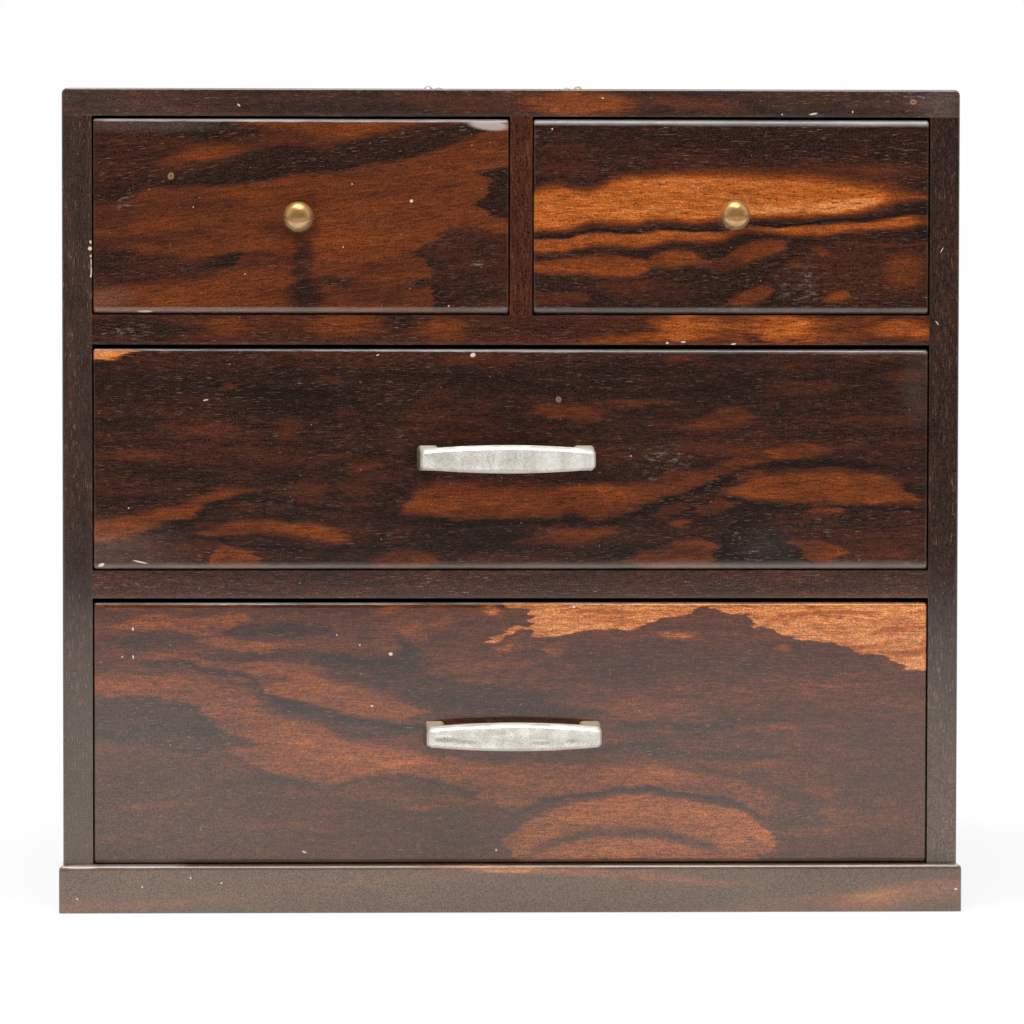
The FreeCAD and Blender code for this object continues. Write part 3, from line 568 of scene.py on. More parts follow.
FIGURES = {}
FIGURES["upper_left_drawer_front"] = Figure(
    0.545,
    patches=(
        # Dark upper left corner
        (0.29, 12, 14, (85, 106, 190, 108, 238, 116, 262, 126),
         (85, 212, 130, 206, 158, 172, 190, 152, 225, 138, 262, 126)),
        # Dark arch that rises to the right
        lens(0.20, 12, 8, (95, 178, 150, 162, 180, 160, 205, 155, 230, 152, 255, 146, 290, 143, 320, 144,
              345, 136, 370, 130, 400, 124, 440, 120, 470, 118, 506, 120),
             (150, 191, 185, 190, 230, 189, 255, 185, 280, 182, 300, 178, 345, 176, 370, 169, 400, 165,
              440, 152, 470, 141)),
        # Band at the lower left
        (0.35, 10, 10, (85, 248, 120, 246, 160, 250, 200, 254, 225, 252, 250, 250),
         (85, 292, 130, 290, 180, 284, 215, 276, 235, 268, 250, 250)),
        # Small lens at its end
        lens(0.20, 5, 5, (192, 268, 205, 260, 220, 254, 245, 252), (215, 271, 235, 267)),
        # Two dark tongues at the right end
        (0.18, 5, 5, (476, 172, 492, 168, 515, 165), (476, 172, 484, 180, 515, 190)),
        (0.18, 5, 5, (472, 203, 482, 198, 488, 186, 495, 180, 515, 176),
         (472, 203, 482, 209, 492, 216, 515, 226)),
        # Dark lower right corner
        (0.30, 8, 8, (402, 262, 415, 250, 430, 238, 440, 231, 460, 226, 480, 225, 490, 228, 515, 230),
         (402, 262, 415, 262, 430, 275, 440, 318, 515, 322)),
    ),
    hills=(
        (230, 134, 40, 10, -0.12), (330, 240, 60, 20, 0.06, 4), (380, 180, 90, 12, -0.06, -6),
        # Under the knob, from (300, 246) down to (306, 293), a dark knot holds the knob's painted shadow
        (200, 298, 60, 10, 0.06), (303, 262, 12, 26, -0.20), (306, 293, 18, 18, -0.28),
        (300, 246, 9, 12, -0.10), (300.5, 300, 1.2, 11, -0.40, -12), (338, 281, 24, 6, -0.26, -4),
        (400, 280, 60, 26, -0.06), (290, 228, 30, 10, -0.10), (110, 225, 30, 50, -0.08),
        (421, 283, 11, 4, -0.30), (443, 296, 9, 11, -0.12), (485, 290, 26, 9, -0.12),
        (190, 150, 50, 7, 0.06, -6), (260, 138, 110, 12, -0.16, -6), (130, 262, 60, 40, -0.06),
        (345, 152, 40, 6, 0.05, -10), (440, 128, 50, 6, -0.06), (180, 202, 70, 12, -0.10),
        (190, 240, 50, 10, -0.08), (262, 260, 42, 10, -0.12), (300, 298, 180, 12, -0.04),
    ),
    streaks=0.36, mottle=0.16, lean=0.10, ragged=0.8,
    mists=((150, 126, 70, 6, 0.16), (110, 298, 25, 10, 0.12)), facets=((489, 125, 19, 5, -6),),
    specks=(
        (412, 201, 1.5, 1.5), (353, 184, 0.7, 0.7), (146, 311.5, 7, 1.0), (246, 274, 0.6, 0.6),
        (344, 247, 0.6, 0.6), (195, 207, 0.6, 0.6), (449, 306, 0.7, 0.7),
    ),
    dots=((173, 176, 2.8, 3.4, -20),), scuffs=((128, 203, 9, 8, 20), (476, 264, 8, 5, 20)),
    top_highlight=(0.8, 0.9, 1.0, 0.9), foot_sheen=(1.6, 1.8, 0.36, 0.30))
FIGURES["upper_right_drawer_front"] = Figure(
    0.20,
    patches=(
        # Broad amber band, soft above
        (0.88, 17, 13, (528, 182, 545, 178, 560, 176, 575, 180, 590, 180, 602, 176, 615, 170, 640, 166,
          680, 164, 720, 164, 760, 166, 800, 168, 830, 171, 860, 176, 890, 179, 915, 183, 945, 188),
         (528, 239, 558, 238, 570, 237, 585, 232, 600, 230, 618, 231, 635, 231, 645, 229, 660, 228, 685, 229,
          705, 229, 725, 227, 745, 225, 770, 224, 820, 222, 850, 218, 870, 214, 885, 211, 915, 208,
          945, 207)),
        # Second band
        (0.80, 4, 9, (528, 238, 560, 237, 570, 236, 585, 231, 600, 230, 620, 231, 635, 232, 645, 230,
          660, 228, 685, 229, 705, 229, 725, 228, 745, 225, 760, 225, 775, 226, 800, 224, 820, 223, 840, 221,
          860, 220, 885, 217, 900, 215, 934, 212),
         (528, 258, 560, 257, 580, 253, 600, 251, 620, 252, 635, 253, 650, 251, 665, 247, 685, 246, 705, 247,
          720, 246, 740, 240, 760, 237, 780, 239, 800, 241, 820, 241, 840, 237, 860, 235, 900, 233,
          934, 231)),
        # Third band at the left
        (0.64, 6, 8, (528, 259, 560, 257, 580, 254, 600, 252, 620, 253, 640, 256, 656, 262),
         (528, 276, 560, 279, 580, 279, 600, 281, 625, 282, 640, 279, 656, 262)),
        # Fourth band under the knob
        lens(0.57, 6, 8, (640, 268, 655, 252, 668, 247, 680, 246, 692, 249, 700, 254, 712, 256, 722, 254,
              732, 248, 745, 240, 760, 236, 775, 236, 790, 240),
             (665, 272, 690, 270, 700, 272, 720, 278, 735, 274, 755, 264, 770, 260, 783, 252)),
        # Flecks near the foot and at the right
        (0.52, 5, 6, (824, 243, 850, 239, 870, 241, 900, 243, 934, 237),
         (824, 243, 860, 247, 900, 249, 934, 248)),
        lens(0.54, 7, 8, (720, 299, 740, 289, 755, 283, 766, 281, 774, 291), (740, 311, 760, 307)),
        lens(0.54, 6, 7, (815, 301, 828, 291, 840, 287, 855, 298), (830, 306)),
        (0.42, 5, 5, (528, 292, 560, 290, 585, 292, 598, 300), (528, 307, 580, 307, 598, 300)),
    ),
    hills=(
        (735, 232, 26, 6, -0.16), (928, 226, 16, 18, -0.30), (918, 196, 36, 16, -0.18),
        (720, 264, 24, 14, -0.14), (770, 165, 140, 8, 0.10), (840, 172, 70, 8, 0.12),
        (890, 176, 50, 12, 0.12), (820, 251, 9, 5, 0.24, -20), (905, 271, 26, 20, 0.20),
        (652, 293, 50, 14, 0.10), (792, 265, 9, 4, 0.22), (860, 270, 80, 34, 0.14), (620, 284, 40, 8, 0.12),
        (560, 155, 30, 20, 0.08), (640, 150, 80, 12, 0.05), (780, 212, 60, 8, 0.10), (856, 208, 38, 9, 0.20),
        (572, 172, 50, 8, 0.10), (690, 256, 30, 12, 0.06),
    ),
    veins=(
        (-0.34, 2, 2, (528, 238, 558, 237, 570, 236, 585, 231, 600, 229, 618, 231, 635, 232, 645, 229,
          660, 227, 685, 229, 705, 230, 725, 228, 745, 224, 768, 226, 800, 224, 835, 220, 860, 219, 885, 216,
          934, 212)),
    ),
    streaks=0.26, mottle=0.14, lean=-0.01, ragged=0.4,
    specks=((552, 129, 0.8, 0.8), (788, 113, 0.7, 0.7), (697, 188, 0.6, 0.6)),
    scuffs=((800, 286, 16, 20, -35),), top_highlight=(1.5, 1.7, 0.50, 0.46), foot_sheen=(1.6, 1.8, 0.22, 0.34))
FIGURES["middle_drawer_front"] = Figure(
    0.25,
    patches=(
        # Orange chip at the upper left corner
        (0.96, 2, 3, (85, 342, 100, 345, 125, 346, 141, 351), (85, 362, 100, 361, 120, 358, 141, 351)),
        # Red band that rises from the left end
        (0.58, 10, 7, (85, 519, 120, 512, 140, 508, 165, 502, 185, 497, 200, 491, 215, 484, 240, 481,
          276, 488),
         (85, 545, 140, 540, 165, 525, 185, 521, 200, 510, 225, 501, 245, 497, 276, 488)),
        # Red lens under its tip
        lens(0.57, 8, 7, (192, 534, 215, 522, 250, 516, 290, 518, 325, 521, 360, 540),
             (215, 541, 260, 538, 310, 543, 335, 547)),
        lens(0.54, 7, 7, (206, 568, 222, 543, 245, 545, 258, 555, 276, 572), (240, 584)),
        # Dark neck left of the middle
        lens(0.17, 9, 9, (325, 552, 365, 530, 374, 513, 378, 493, 392, 476, 410, 470, 440, 470),
             (375, 549, 390, 532, 396, 510, 406, 492, 420, 483)),
        # Red band under the pull
        lens(0.60, 12, 7, (392, 517, 405, 498, 425, 479, 445, 477, 500, 480, 540, 481, 600, 477, 640, 475,
              680, 465, 738, 468),
             (460, 524, 500, 520, 540, 521, 575, 516, 590, 521, 620, 518, 655, 502, 680, 498, 700, 490)),
        # Dark band that ends at the right
        (0.21, 6, 10, (722, 514, 760, 506, 830, 507, 880, 510, 938, 509),
         (722, 514, 760, 526, 800, 532, 860, 530, 938, 534)),
        # Red island at the right
        lens(0.60, 10, 6, (706, 496, 735, 480, 760, 471, 790, 467, 820, 465, 860, 467, 890, 474, 922, 504),
             (750, 500, 790, 505, 860, 507)),
        # Small flecks below it
        lens(0.50, 6, 6, (644, 517, 660, 505, 675, 501, 696, 508), (670, 522)),
        lens(0.56, 6, 6, (690, 517, 710, 501, 722, 498, 738, 504), (712, 520)),
        lens(0.50, 7, 7, (510, 547, 540, 530, 570, 526, 600, 525, 632, 531), (550, 550, 590, 545)),
        lens(0.53, 7, 7, (622, 563, 640, 550, 660, 543, 685, 535, 700, 534, 720, 550, 738, 564), (680, 582)),
        # Blackest patch, right of the middle
        lens(0.06, 7, 7, (714, 548, 728, 525, 740, 518, 768, 519, 798, 543, 818, 566), (728, 578, 806, 582)),
        lens(0.55, 5, 7, (764, 534, 795, 537, 825, 539, 858, 553), (800, 551, 815, 568)),
        lens(0.52, 5, 5, (800, 512, 820, 501, 830, 503, 846, 515), (820, 518)),
        # Faint flecks of the upper half
        lens(0.50, 8, 8, (522, 411, 545, 402, 590, 403, 610, 411), (560, 425, 590, 426)),
        lens(0.48, 6, 6, (574, 402, 620, 396, 650, 396, 688, 401), (640, 408)),
        lens(0.48, 8, 7, (364, 559, 392, 547, 415, 546, 440, 559), (400, 578)),
        lens(0.47, 8, 8, (664, 427, 700, 416, 715, 404, 735, 402, 762, 416), (700, 434, 730, 433)),
        lens(0.50, 8, 8, (754, 453, 785, 439, 810, 437, 842, 450), (790, 465)),
        lens(0.50, 8, 8, (700, 475, 735, 455, 750, 455, 780, 465), (740, 482)),
    ),
    hills=(
        (164, 352, 7, 3, 0.35), (677, 525, 12, 4, 0.36, 10), (872, 550, 54, 14, 0.14),
        (480, 360, 42, 6, 0.12), (680, 356, 24, 5, 0.16), (288, 428, 14, 13, 0.18), (211, 431, 32, 6, 0.16),
        (167, 426, 14, 4, 0.14), (137, 455, 24, 6, 0.14), (231, 385, 11, 4, 0.22),
        (330, 379, 12, 4, 0.24, -8), (346, 412, 13, 5, 0.18, 10), (310, 488, 18, 18, 0.12),
        (356, 487, 18, 8, 0.14), (364, 465, 16, 6, 0.12), (490, 558, 24, 6, 0.10), (802, 386, 40, 9, 0.12),
        (904, 376, 28, 6, 0.14), (888, 422, 42, 10, 0.10), (470, 540, 80, 20, -0.12),
        (618, 553, 24, 9, -0.12), (300, 402, 70, 16, -0.12), (700, 398, 60, 10, -0.08),
        (660, 380, 180, 14, -0.10), (250, 400, 200, 14, -0.05), (222, 456, 90, 20, 0.08),
        (690, 484, 60, 14, -0.12), (700, 512, 90, 14, -0.12), (720, 548, 160, 18, -0.06),
        (450, 420, 60, 20, 0.04), (560, 455, 70, 14, 0.04), (280, 382, 230, 14, -0.10),
        (900, 540, 50, 24, 0.06), (160, 470, 60, 8, -0.05), (150, 545, 70, 12, 0.08),
        (740, 452, 60, 8, 0.12, -8), (240, 566, 60, 8, -0.08), (800, 552, 40, 14, -0.06),
        (120, 490, 30, 8, 0.06, -8),
    ),
    veins=(
        (-0.26, 6, 6, (630, 510, 660, 502, 690, 492, 722, 480, 750, 470, 775, 464, 830, 463, 895, 469)),
        # Thin dark outlines of the red places
        (-0.24, 4, 5, (196, 540, 215, 539, 245, 549, 290, 547, 330, 552, 360, 547, 395, 547, 424, 540)),
        (-0.22, 5, 5, (120, 540, 165, 530, 185, 524, 205, 511, 225, 502, 245, 498, 300, 505, 350, 514)),
        (-0.24, 4, 6, (392, 523, 430, 521, 460, 525, 500, 521, 540, 522, 575, 517, 590, 522, 625, 518,
          655, 506)),
        (-0.22, 4, 4, (712, 494, 735, 500, 760, 505, 800, 507, 860, 509, 915, 510)),
    ),
    streaks=0.56, mottle=0.30, ragged=0.9,
    mists=((110, 550, 60, 25, 0.15), (918, 385, 16, 40, 0.08), (770, 545, 30, 18, 0.06)),
    specks=(
        (473, 355, 2.6, 2.0, 20), (378, 355, 1.6, 0.6, 20), (206, 400, 2.6, 0.6, 10), (631, 456, 0.7, 0.7),
        (128, 508, 0.7, 0.7), (100, 565, 3.0, 1.6, 20), (139, 562, 7, 0.7, -12),
    ),
    dots=((558.5, 399.5, 2.6, 2.6),),
    scuffs=(
        (736, 542, 3, 20), (752, 554, 6, 8, 20), (664, 462, 26, 16, 25), (246, 434, 6, 4, 20),
        (274, 434, 4, 3), (287, 487, 9, 3, 6),
    ),
    top_highlight=(0.4, 1.2, 0.60, 0.18), foot_sheen=(1.8, 2.2, 0.36, 0.38))
FIGURES["lower_drawer_front"] = Figure(
    0.46,
    patches=(
        # Long red band from the upper left to the lower right
        (0.61, 5, 4, (82, 672, 150, 672, 195, 673, 215, 680, 240, 685, 255, 698, 262, 710, 280, 717, 310, 722,
          350, 738, 380, 742, 440, 752, 480, 757, 560, 762, 600, 764, 640, 762, 700, 770, 730, 775, 760, 785,
          790, 797, 814, 802),
         (82, 697, 150, 699, 195, 708, 215, 735, 222, 752, 240, 762, 255, 770, 275, 777, 300, 783, 325, 787,
          365, 778, 400, 777, 440, 781, 460, 789, 480, 797, 500, 808, 520, 812, 540, 801, 560, 797, 600, 793,
          640, 789, 680, 794, 720, 799, 750, 808, 770, 818, 790, 815, 814, 802)),
        # Dark hollows along it
        (0.27, 5, 5, (82, 696, 130, 697, 165, 699, 192, 704, 205, 718, 225, 730, 245, 738, 266, 745),
         (82, 742, 150, 752, 190, 758, 222, 749, 245, 749, 266, 745)),
        lens(0.25, 4, 5, (254, 703, 300, 705, 320, 713, 360, 716, 380, 721, 446, 724),
             (280, 714, 300, 720, 325, 726, 345, 738, 365, 740, 400, 738)),
        lens(0.29, 4, 5, (214, 632, 245, 622, 275, 619, 310, 620, 340, 630), (245, 640, 285, 641, 310, 638)),
        lens(0.29, 5, 6, (300, 657, 340, 650, 360, 655, 395, 652, 405, 640, 420, 650, 430, 672, 445, 676,
              560, 694),
             (330, 678, 360, 686, 385, 694, 410, 702, 430, 708, 520, 712)),
        # Red streaks of the upper left
        lens(0.64, 4, 4, (100, 627, 135, 616, 160, 613, 195, 616, 236, 610, 256, 619),
             (140, 632, 165, 631, 200, 638, 222, 633)),
        lens(0.64, 4, 4, (180, 641, 215, 635, 255, 639, 320, 643), (215, 648, 265, 655, 285, 651)),
        lens(0.61, 4, 4, (124, 657, 160, 652, 190, 652, 215, 659, 280, 660, 344, 668),
             (160, 663, 190, 664, 240, 673, 262, 676)),
        lens(0.67, 4, 4, (248, 689, 280, 679, 300, 671, 330, 681, 380, 695, 440, 714),
             (268, 698, 305, 705, 330, 711, 365, 717, 395, 720)),
        # Orange lens at the foot
        lens(0.79, 5, 3, (500, 840, 520, 823, 540, 811, 570, 801, 610, 795, 640, 792, 690, 798, 735, 805,
              760, 818, 784, 846),
             (560, 885, 700, 885)),
        # Flecks round the middle
        lens(0.60, 5, 5, (352, 633, 385, 620, 405, 616, 434, 642), (395, 630, 410, 642)),
        lens(0.58, 5, 5, (386, 674, 440, 666, 480, 660, 540, 665), (435, 677, 480, 674)),
        lens(0.57, 5, 5, (790, 682, 830, 682, 860, 689, 894, 697), (830, 690)),
        lens(0.27, 5, 5, (576, 732, 620, 723, 665, 720, 710, 721, 730, 716, 760, 715, 804, 721),
             (650, 732, 710, 734, 740, 731)),
        lens(0.27, 6, 6, (576, 752, 625, 740, 650, 739, 672, 746, 700, 749, 760, 749, 825, 757),
             (625, 758, 672, 760, 730, 764)),
        # Pale sapwood along the top
        (0.96, 2, 2, (486, 598, 540, 580, 942, 580),
         (486, 598, 500, 603, 506, 608, 530, 612, 532, 630, 536, 637, 562, 638, 572, 634, 590, 631, 645, 630,
          652, 622, 672, 618, 690, 616, 700, 610, 708, 608, 715, 612, 735, 616, 752, 616, 754, 630, 765, 628,
          778, 631, 790, 637, 815, 643, 838, 643, 848, 648, 855, 654, 882, 656, 900, 662, 912, 671,
          942, 673)),
        lens(0.94, 2, 2, (478, 643, 498, 633, 508, 629, 520, 624, 550, 628), (502, 641, 510, 636, 520, 631)),
    ),
    hills=(
        (503, 648, 10, 4, 0.30), (673, 634, 21, 4, 0.35), (490, 610, 12, 5, 0.30, -20),
        (440, 622, 16, 4, 0.16, 20), (783, 648, 10, 5, 0.30), (555, 652, 11, 4, 0.28, -8),
        (150, 641, 52, 9, -0.14), (265, 656, 60, 4, -0.12), (383, 642, 16, 10, 0.14), (330, 646, 32, 6, 0.13),
        (384, 609, 9, 9, 0.12), (472, 683, 30, 5, 0.10), (425, 808, 27, 4, 0.20), (150, 822, 16, 4, 0.10),
        (320, 831, 12, 3, 0.12), (645, 707, 60, 13, 0.09), (750, 700, 54, 12, 0.06), (665, 730, 12, 5, 0.12),
        (770, 727, 32, 4, 0.14), (770, 763, 22, 4, 0.12), (825, 792, 22, 6, 0.12), (838, 813, 25, 8, 0.14),
        # The hill at (510, 714) is a painted shadow: the dark reflection of the lower pull in the varnish above it
        (812, 832, 30, 5, 0.12), (797, 814, 30, 26, -0.16, -30), (510, 714, 92, 9, -0.12),
        (338, 745, 90, 24, 0.14, -6), (170, 815, 140, 50, -0.13), (410, 832, 110, 26, -0.12),
        (470, 772, 90, 12, 0.10, -8), (880, 770, 60, 60, -0.04), (645, 778, 70, 9, 0.08),
        (150, 806, 60, 4, 0.14, 2), (250, 826, 80, 4, 0.10, 3), (130, 836, 40, 4, 0.10),
        (380, 838, 70, 6, 0.08, 2), (420, 790, 50, 5, -0.10), (600, 612, 60, 2, -0.10, -2),
        (830, 612, 60, 2, -0.08, 2), (690, 662, 200, 22, -0.08), (900, 630, 30, 3, -0.12, 4),
        (870, 646, 30, 2, -0.10, 6), (640, 622, 30, 2, -0.10), (555, 600, 30, 2, -0.10),
        (740, 602, 40, 2, -0.10), (920, 650, 24, 3, -0.14, 10),
    ),
    veins=(
        # Dark line through the long band, and the lens's rim and inner arc
        (-0.26, 5, 6, (120, 664, 180, 664, 200, 670, 240, 675, 255, 684, 262, 698, 300, 706, 350, 718,
          425, 730)),
        (-0.16, 3, 6, (222, 753, 240, 763, 255, 771, 275, 778, 300, 784, 325, 788, 365, 779, 400, 778,
          440, 782, 460, 790, 480, 798, 500, 809)),
        (-0.34, 4, 4, (500, 828, 520, 814, 540, 802, 565, 797, 600, 793, 640, 789, 690, 795, 735, 801,
          757, 812, 775, 826, 790, 836)),
        (-0.34, 8, 8, (515, 861, 545, 846, 570, 838, 610, 832, 640, 833, 680, 838, 710, 846, 740, 860)),
    ),
    streaks=0.46, mottle=0.26, ragged=0.75, fine=1.10, floor_sheen=0.22, mists=((120, 780, 120, 90, 0.08),),
    specks=(
        (131, 629, 1.0, 1.6), (131, 657, 0.7, 2.0, 8), (120, 657, 0.6, 0.9), (359, 645, 0.6, 1.0),
        (336, 635, 0.6, 0.8), (302, 852, 2.2, 0.9, -20), (496, 850, 0.9, 1.2, 20), (390, 654, 2.0, 1.6),
        (371, 706, 1.4, 0.8, -20), (574, 607, 1.5, 1.3),
    ),
    top_highlight=(0.5, 0.2, 0.55, 0.30), foot_sheen=(1.2, 1.2, 0.25, 0.25))
FIGURES["upper_rail"] = Figure(
    0.34,
    hills=(
        (225, 326, 26, 10, 0.16), (345, 326, 40, 14, 0.24), (445, 330, 24, 12, 0.24), (250, 322, 60, 9, 0.08),
        (630, 338, 60, 6, 0.22, 3), (690, 325, 42, 14, 0.40), (775, 326, 50, 14, 0.40),
        (905, 330, 38, 11, 0.40), (120, 330, 60, 16, -0.10), (400, 322, 16, 10, -0.12),
        (755, 338, 10, 5, -0.30), (830, 328, 60, 16, 0.16), (720, 342, 120, 8, 0.18),
    ),
    streaks=0.54, mottle=0.14, fine=1.2, top_highlight=None, side_edge=0.03,
    specks=((667, 343, 1.4, 1.0), (683, 342, 2.4, 0.8), (733, 344, 2.6, 0.7, 5), (147, 313.5, 6, 0.7)),
    scuffs=((130, 330, 22, 9), (184, 341, 9, 3)))
FIGURES["lower_rail"] = Figure(
    0.31,
    hills=(
        (640, 576, 60, 4, 0.10), (300, 590, 90, 6, 0.05), (140, 596, 80, 8, 0.08), (840, 596, 70, 8, 0.10),
    ),
    streaks=0.54, mottle=0.14, fine=1.3, floor_sheen=0.24, floor_sheen_height=125 * MM, top_highlight=None, side_edge=0.03,
    specks=((112, 568, 2.0, 0.8),))
FIGURES["top_board"] = Figure(
    0.25,
    hills=(
        (575, 103, 62, 14, 0.44), (700, 106, 60, 9, 0.22, -8), (455, 104, 60, 8, 0.18, -4),
        (145, 100, 30, 7, 0.12), (230, 112, 60, 8, 0.08), (890, 108, 60, 7, 0.08), (300, 118, 240, 5, -0.08),
        (780, 114, 150, 5, -0.08),
    ),
    streaks=0.54,
    mists=(
        (110, 104, 90, 20, 0.07), (300, 104, 500, 40, 0.05), (900, 104, 160, 20, 0.07),
        (938, 104, 26, 16, 0.20),
    ),
    top_highlight=None, side_edge=0.03,
    specks=(
        (336, 119.5, 1.4, 0.7), (368, 119.6, 5.0, 0.8), (241, 105, 1.8, 0.7, -40), (811, 114, 4.0, 0.9, 10),
        (780, 114.5, 0.7, 0.8), (850, 112, 0.6, 1.2), (90, 122, 6.0, 0.6), (602, 98, 1.6, 0.5, -20),
    ),
    dots=((910, 102, 3.0, 2.6),), scuffs=((925, 97, 34, 4, -6),))
FIGURES["plinth_front_rail"] = Figure(
    0.34,
    hills=(
        (100, 907, 120, 5, 0.24, 3), (270, 893, 130, 8, 0.16, 5), (560, 872, 190, 5, 0.40, -3),
        (640, 884, 120, 5, 0.16), (800, 904, 120, 9, 0.26, 5), (915, 893, 75, 16, 0.36, 8),
        (420, 880, 90, 8, 0.10), (500, 870, 70, 3, 0.30),
    ),
    streaks=0.44, mottle=0.20, fine=0.8, top_highlight=(0.4, 0.4, 0.10, 0.25), side_edge=0.03, plane=PLINTH_PLANE,
    floor_sheen=0.48, facets=((76, 867, 18, 2.2), (135, 867, 45, 0.9)),
    specks=(
        (187, 878, 0.8, 1.2), (72, 899, 1.0, 0.9), (138, 887, 0.8, 0.8), (218, 883, 1.2, 0.7, 20),
        (961, 889, 1.6, 1.0, 10),
    ))
STILE = Figure(
    0.21, streaks=0.50, fine=1.05, floor_sheen=0.38, floor_sheen_height=110 * MM, top_highlight=None, side_edge=0.03,
    mists=((78, 350, 80, 400, 0.08), (944, 350, 80, 400, 0.03)),
    specks=(
        (92.6, 242, 1.0, 1.6, 20), (92.0, 248.5, 2.0, 1.8), (92.6, 256, 0.9, 1.2), (92.9, 262, 0.5, 3.5),
        (92.9, 271, 0.6, 5), (92.4, 276, 0.8, 1.4), (93, 570, 1.2, 1.0), (936, 323, 2.6, 0.5, -50),
        (940, 250, 3.0, 0.4, 60),
    ))
PLINTH = Figure(
    0.33, streaks=0.45, fine=0.9, floor_sheen=0.46, side_edge=0.03)
POST = Figure(
    0.42, streaks=0.80, mottle=0.30, fine=1.2, side_edge=0.03)

SEEDS = {name: 3.1 + 7.3 * number for number, name in enumerate(sorted(nodes))}
BACK_RAIL_SEED = 31.0
DRAWERS = ("upper_left_drawer", "upper_right_drawer", "middle_drawer", "lower_drawer")

for name, figure in FIGURES.items():
    paint(name, rosewood("rosewood_" + name, "XZY", SEEDS[name], figure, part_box(name)))
for name, figure in (("left_side", STILE), ("right_side", STILE), ("divider_post", POST)):
    paint(name, rosewood("rosewood_" + name, "ZXY", SEEDS[name], figure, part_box(name)))
for name in ("plinth_left_rail", "plinth_right_rail"):
    paint(name, rosewood("rosewood_" + name, "YZX", SEEDS[name], PLINTH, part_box(name)))
paint("plinth_back_rail",
      rosewood("rosewood_plinth_back", "XZY", BACK_RAIL_SEED, PLINTH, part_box("plinth_back_rail")))

# Pale woods: their two colours, the growth lines per metre and the roughness
KIRI = ((0.52, 0.36, 0.20), (0.33, 0.20, 0.10))
BAMBOO = ((0.55, 0.38, 0.18), (0.36, 0.21, 0.09))
kiri_x = plain_wood("paulownia_x", "XZY", 1.0, *KIRI, 190.0, 0.45)
kiri_y = plain_wood("paulownia_y", "YZX", 9.0, *KIRI, 190.0, 0.45)
kiri_flat = plain_wood("paulownia_flat", "XYZ", 5.0, *KIRI, 120.0, 0.45)
bamboo = plain_wood("bamboo", "ZXY", 3.0, *BAMBOO, 900.0, 0.35)
paint("back_panel", kiri_x)
paint("divider_board", kiri_y)
for name in ("upper_dust_board", "lower_dust_board", "bottom_board"):
    paint(name, kiri_flat)
for drawer in DRAWERS:
    paint(drawer + "_left_side", kiri_y)
    paint(drawer + "_right_side", kiri_y)
    paint(drawer + "_back", kiri_x)
    paint(drawer + "_bottom", kiri_flat)
for name in nodes:
    if name.endswith("pegs"):
        paint(name, bamboo)

# Metals: bright, dull and stain colours, how metallic they are, least and most roughness, strength of the pits
BRASS = ((0.70, 0.46, 0.25), (0.54, 0.33, 0.15), (0.24, 0.11, 0.035), 0.70, 0.10, 0.20, 0.45)
NICKEL = ((0.92, 0.90, 0.84), (0.70, 0.67, 0.60), (0.28, 0.22, 0.14), 0.35, 0.28, 0.44, 0.45)
BAIL_NICKEL = ((0.42, 0.40, 0.36), (0.26, 0.25, 0.22), *NICKEL[2:])
# The two pulls: seed, colour of the legs, how far the clouds run up the bar, and stains, which are laid out like
# the wood's pale films
PULLS = {
    "middle_drawer": (6.0, (0.60, 0.56, 0.44), 7.0,
                      ((427, 455, 7, 5, 0.35), (505, 470, 30, 1, 0.30), (470, 458, 60, 8, 0.22))),
    "lower_drawer": (11.0, (0.58, 0.42, 0.30), 1.0,
                     ((427, 729, 2.5, 2.5, 0.5), (510, 741, 95, 5, 0.22), (446, 740, 12, 2.5, 0.85),
                      (466, 742, 10, 2, 0.65), (540, 743, 12, 2, 0.75), (572, 741, 6, 2, 0.70),
                      (490, 733, 20, 3, 0.35))),
}
for drawer, seed in (("upper_left_drawer", 2.0), ("upper_right_drawer", 7.0)):
    low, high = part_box(drawer + "_knob")
    brass = metal("aged_brass_" + drawer, seed, *BRASS, face=(low + high) / 2.0)
    paint(drawer + "_knob", brass)
    paint(drawer + "_knob_nut", brass)
for drawer, (seed, legs_colour, upright, stains) in PULLS.items():
    nickel = metal("aged_nickel_" + drawer, seed, *NICKEL, stains=stains, bar=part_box(drawer + "_pull"),
                   legs_colour=legs_colour, upright=upright)
    paint(drawer + "_pull", nickel)
    paint(drawer + "_pull_screws", nickel)
nickel = metal("aged_nickel_bail", 17.0, *BAIL_NICKEL)
for name in ("bail", "left_bail_post", "right_bail_post", "left_bail_rosette", "right_bail_rosette",
             "bail_nuts"):
    paint(name, nickel)

# The floor and the world
WHITE = (1.0, 1.0, 1.0)
FLOOR = ((0.2, (0.90, 0.90, 0.895)), (0.8, (0.93, 0.93, 0.925)))
FLOOR_LOW, FLOOR_HIGH, FLOOR_Z = (-3.0, -1.45), (3.0, 3.0), -0.0002
EVEN_LIGHT = 0.42


def rays(web):
    """Whether a ray comes from the camera, and whether it was mirrored or passed on."""
    path = web.put("LightPath").outputs
    return path["Is Camera Ray"], web.higher(path["Is Glossy Ray"], path["Is Transmission Ray"])


def plane(name, low, high, height, material):
    mesh = bpy.data.meshes.new(name)
    corners = [(x, y, height) for x, y in (low, (high[0], low[1]), high, (low[0], high[1]))]
    mesh.from_pydata(corners, [], [(0, 1, 2, 3)])
    mesh.materials.append(material)
    piece = bpy.data.objects.new(name, mesh)
    bpy.context.scene.collection.objects.link(piece)
    return piece


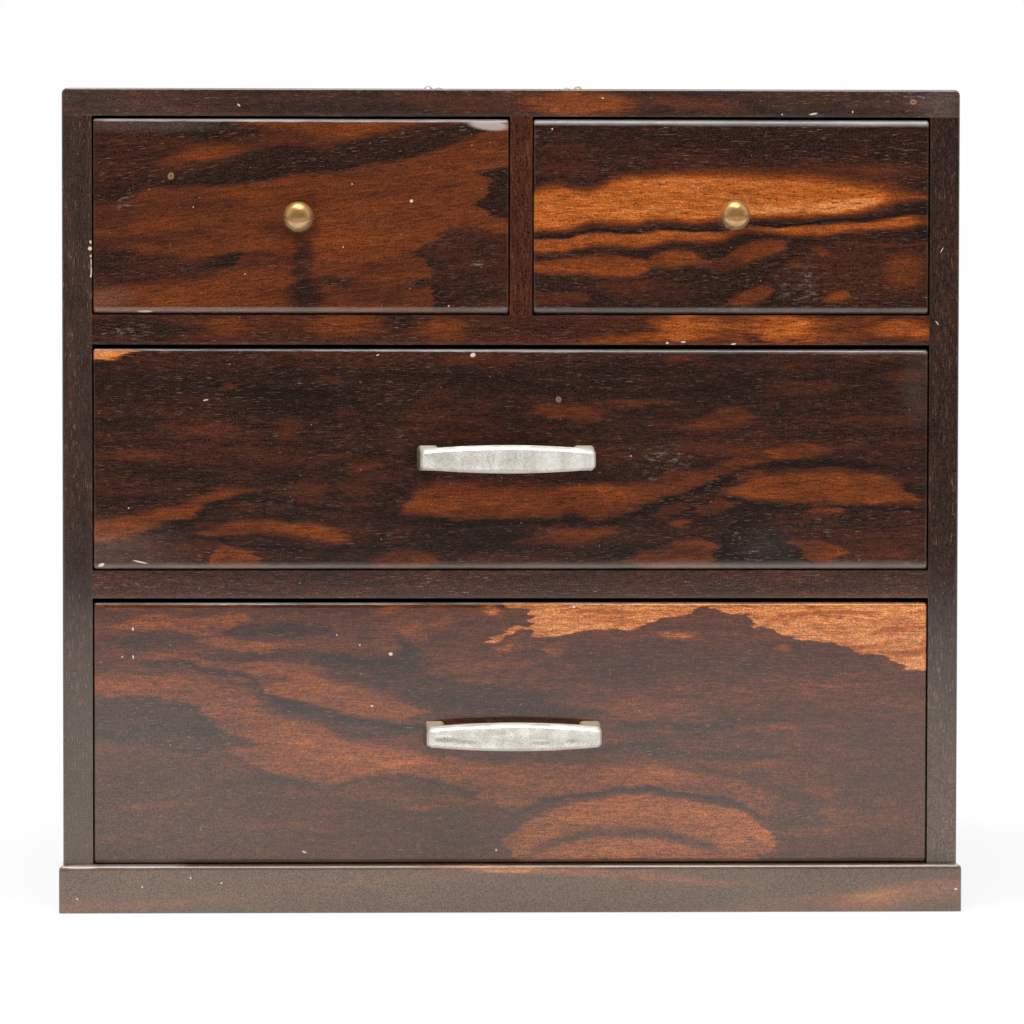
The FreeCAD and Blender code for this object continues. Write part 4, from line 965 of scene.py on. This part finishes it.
def floor_material():
    """A white floor, which the camera sees as near white with the object's shadow on it."""
    web = Web(bpy.data.materials.new("floor"))
    place, axes = web.place()
    ahead = axes["Y"]
    colour = web.colours(web.grain(place, 9.0, 9.0, detail=3.0), FLOOR)
    diffuse = web.put("BsdfDiffuse", {"Color": colour})
    white = web.put("Emission", {"Color": WHITE})
    camera, mirrored = rays(web)
    seen = web.times(camera, web.ramp(web.length(place), 0.25, 0.60, 0.80, 1.0))
    near = web.add(web.ramp(ahead, -1.40, -1.00, 0.0, 0.35), web.ramp(ahead, -0.62, -0.42, 0.0, 0.55))
    share = web.higher(seen, web.times(mirrored, near))
    return web.close(web.put("MixShader", (share, diffuse.outputs[0], white.outputs[0])))


floor = plane("floor", FLOOR_LOW, FLOOR_HIGH, FLOOR_Z, floor_material())


def studio_world():
    """A white background, a soft even light, and a dim room in front of the object for its varnish to show."""
    web = Web(bpy.data.worlds.new("studio"), "OutputWorld")
    ahead = web.split(web.put("TexCoord").outputs["Generated"])[1]
    camera, mirrored = rays(web)
    soft = web.put("Background", {"Color": WHITE, "Strength": EVEN_LIGHT})
    shown = web.higher(camera, web.ramp(ahead, -0.70, 0.10, 0.03, 1.0))
    room = web.put("Background", {"Color": shown, "Strength": 1.0})
    share = web.higher(camera, mirrored)
    return web.close(web.put("MixShader", (share, soft.outputs[0], room.outputs[0])))


def soft_light(name, place, target, width, depth, power, mirrored=True):
    data = bpy.data.lights.new(name, "AREA")
    data.shape = "RECTANGLE"
    data.size = width
    data.size_y = depth
    data.energy = power
    lamp = bpy.data.objects.new(name, data)
    lamp.location = place
    lamp.rotation_euler = (Vector(target) - Vector(place)).to_track_quat("-Z", "Y").to_euler()
    lamp.visible_glossy = mirrored
    bpy.context.scene.collection.objects.link(lamp)


bpy.context.scene.world = studio_world()
soft_light("overhead_softbox", (0.0, -0.45, 1.30), (0.0, -0.10, 0.10), 2.2, 1.5, 13.0, mirrored=False)
soft_light("small_softbox", (-0.06, -0.20, 1.30), (0.0, -0.10, 0.10), 1.0, 0.45, 12.0)
soft_light("front_fill", (-0.9, -1.7, 1.3), (0.0, 0.0, 0.12), 0.9, 0.9, 6.0, mirrored=False)
make_camera()

scene = bpy.context.scene
scene.view_settings.view_transform = "Standard"
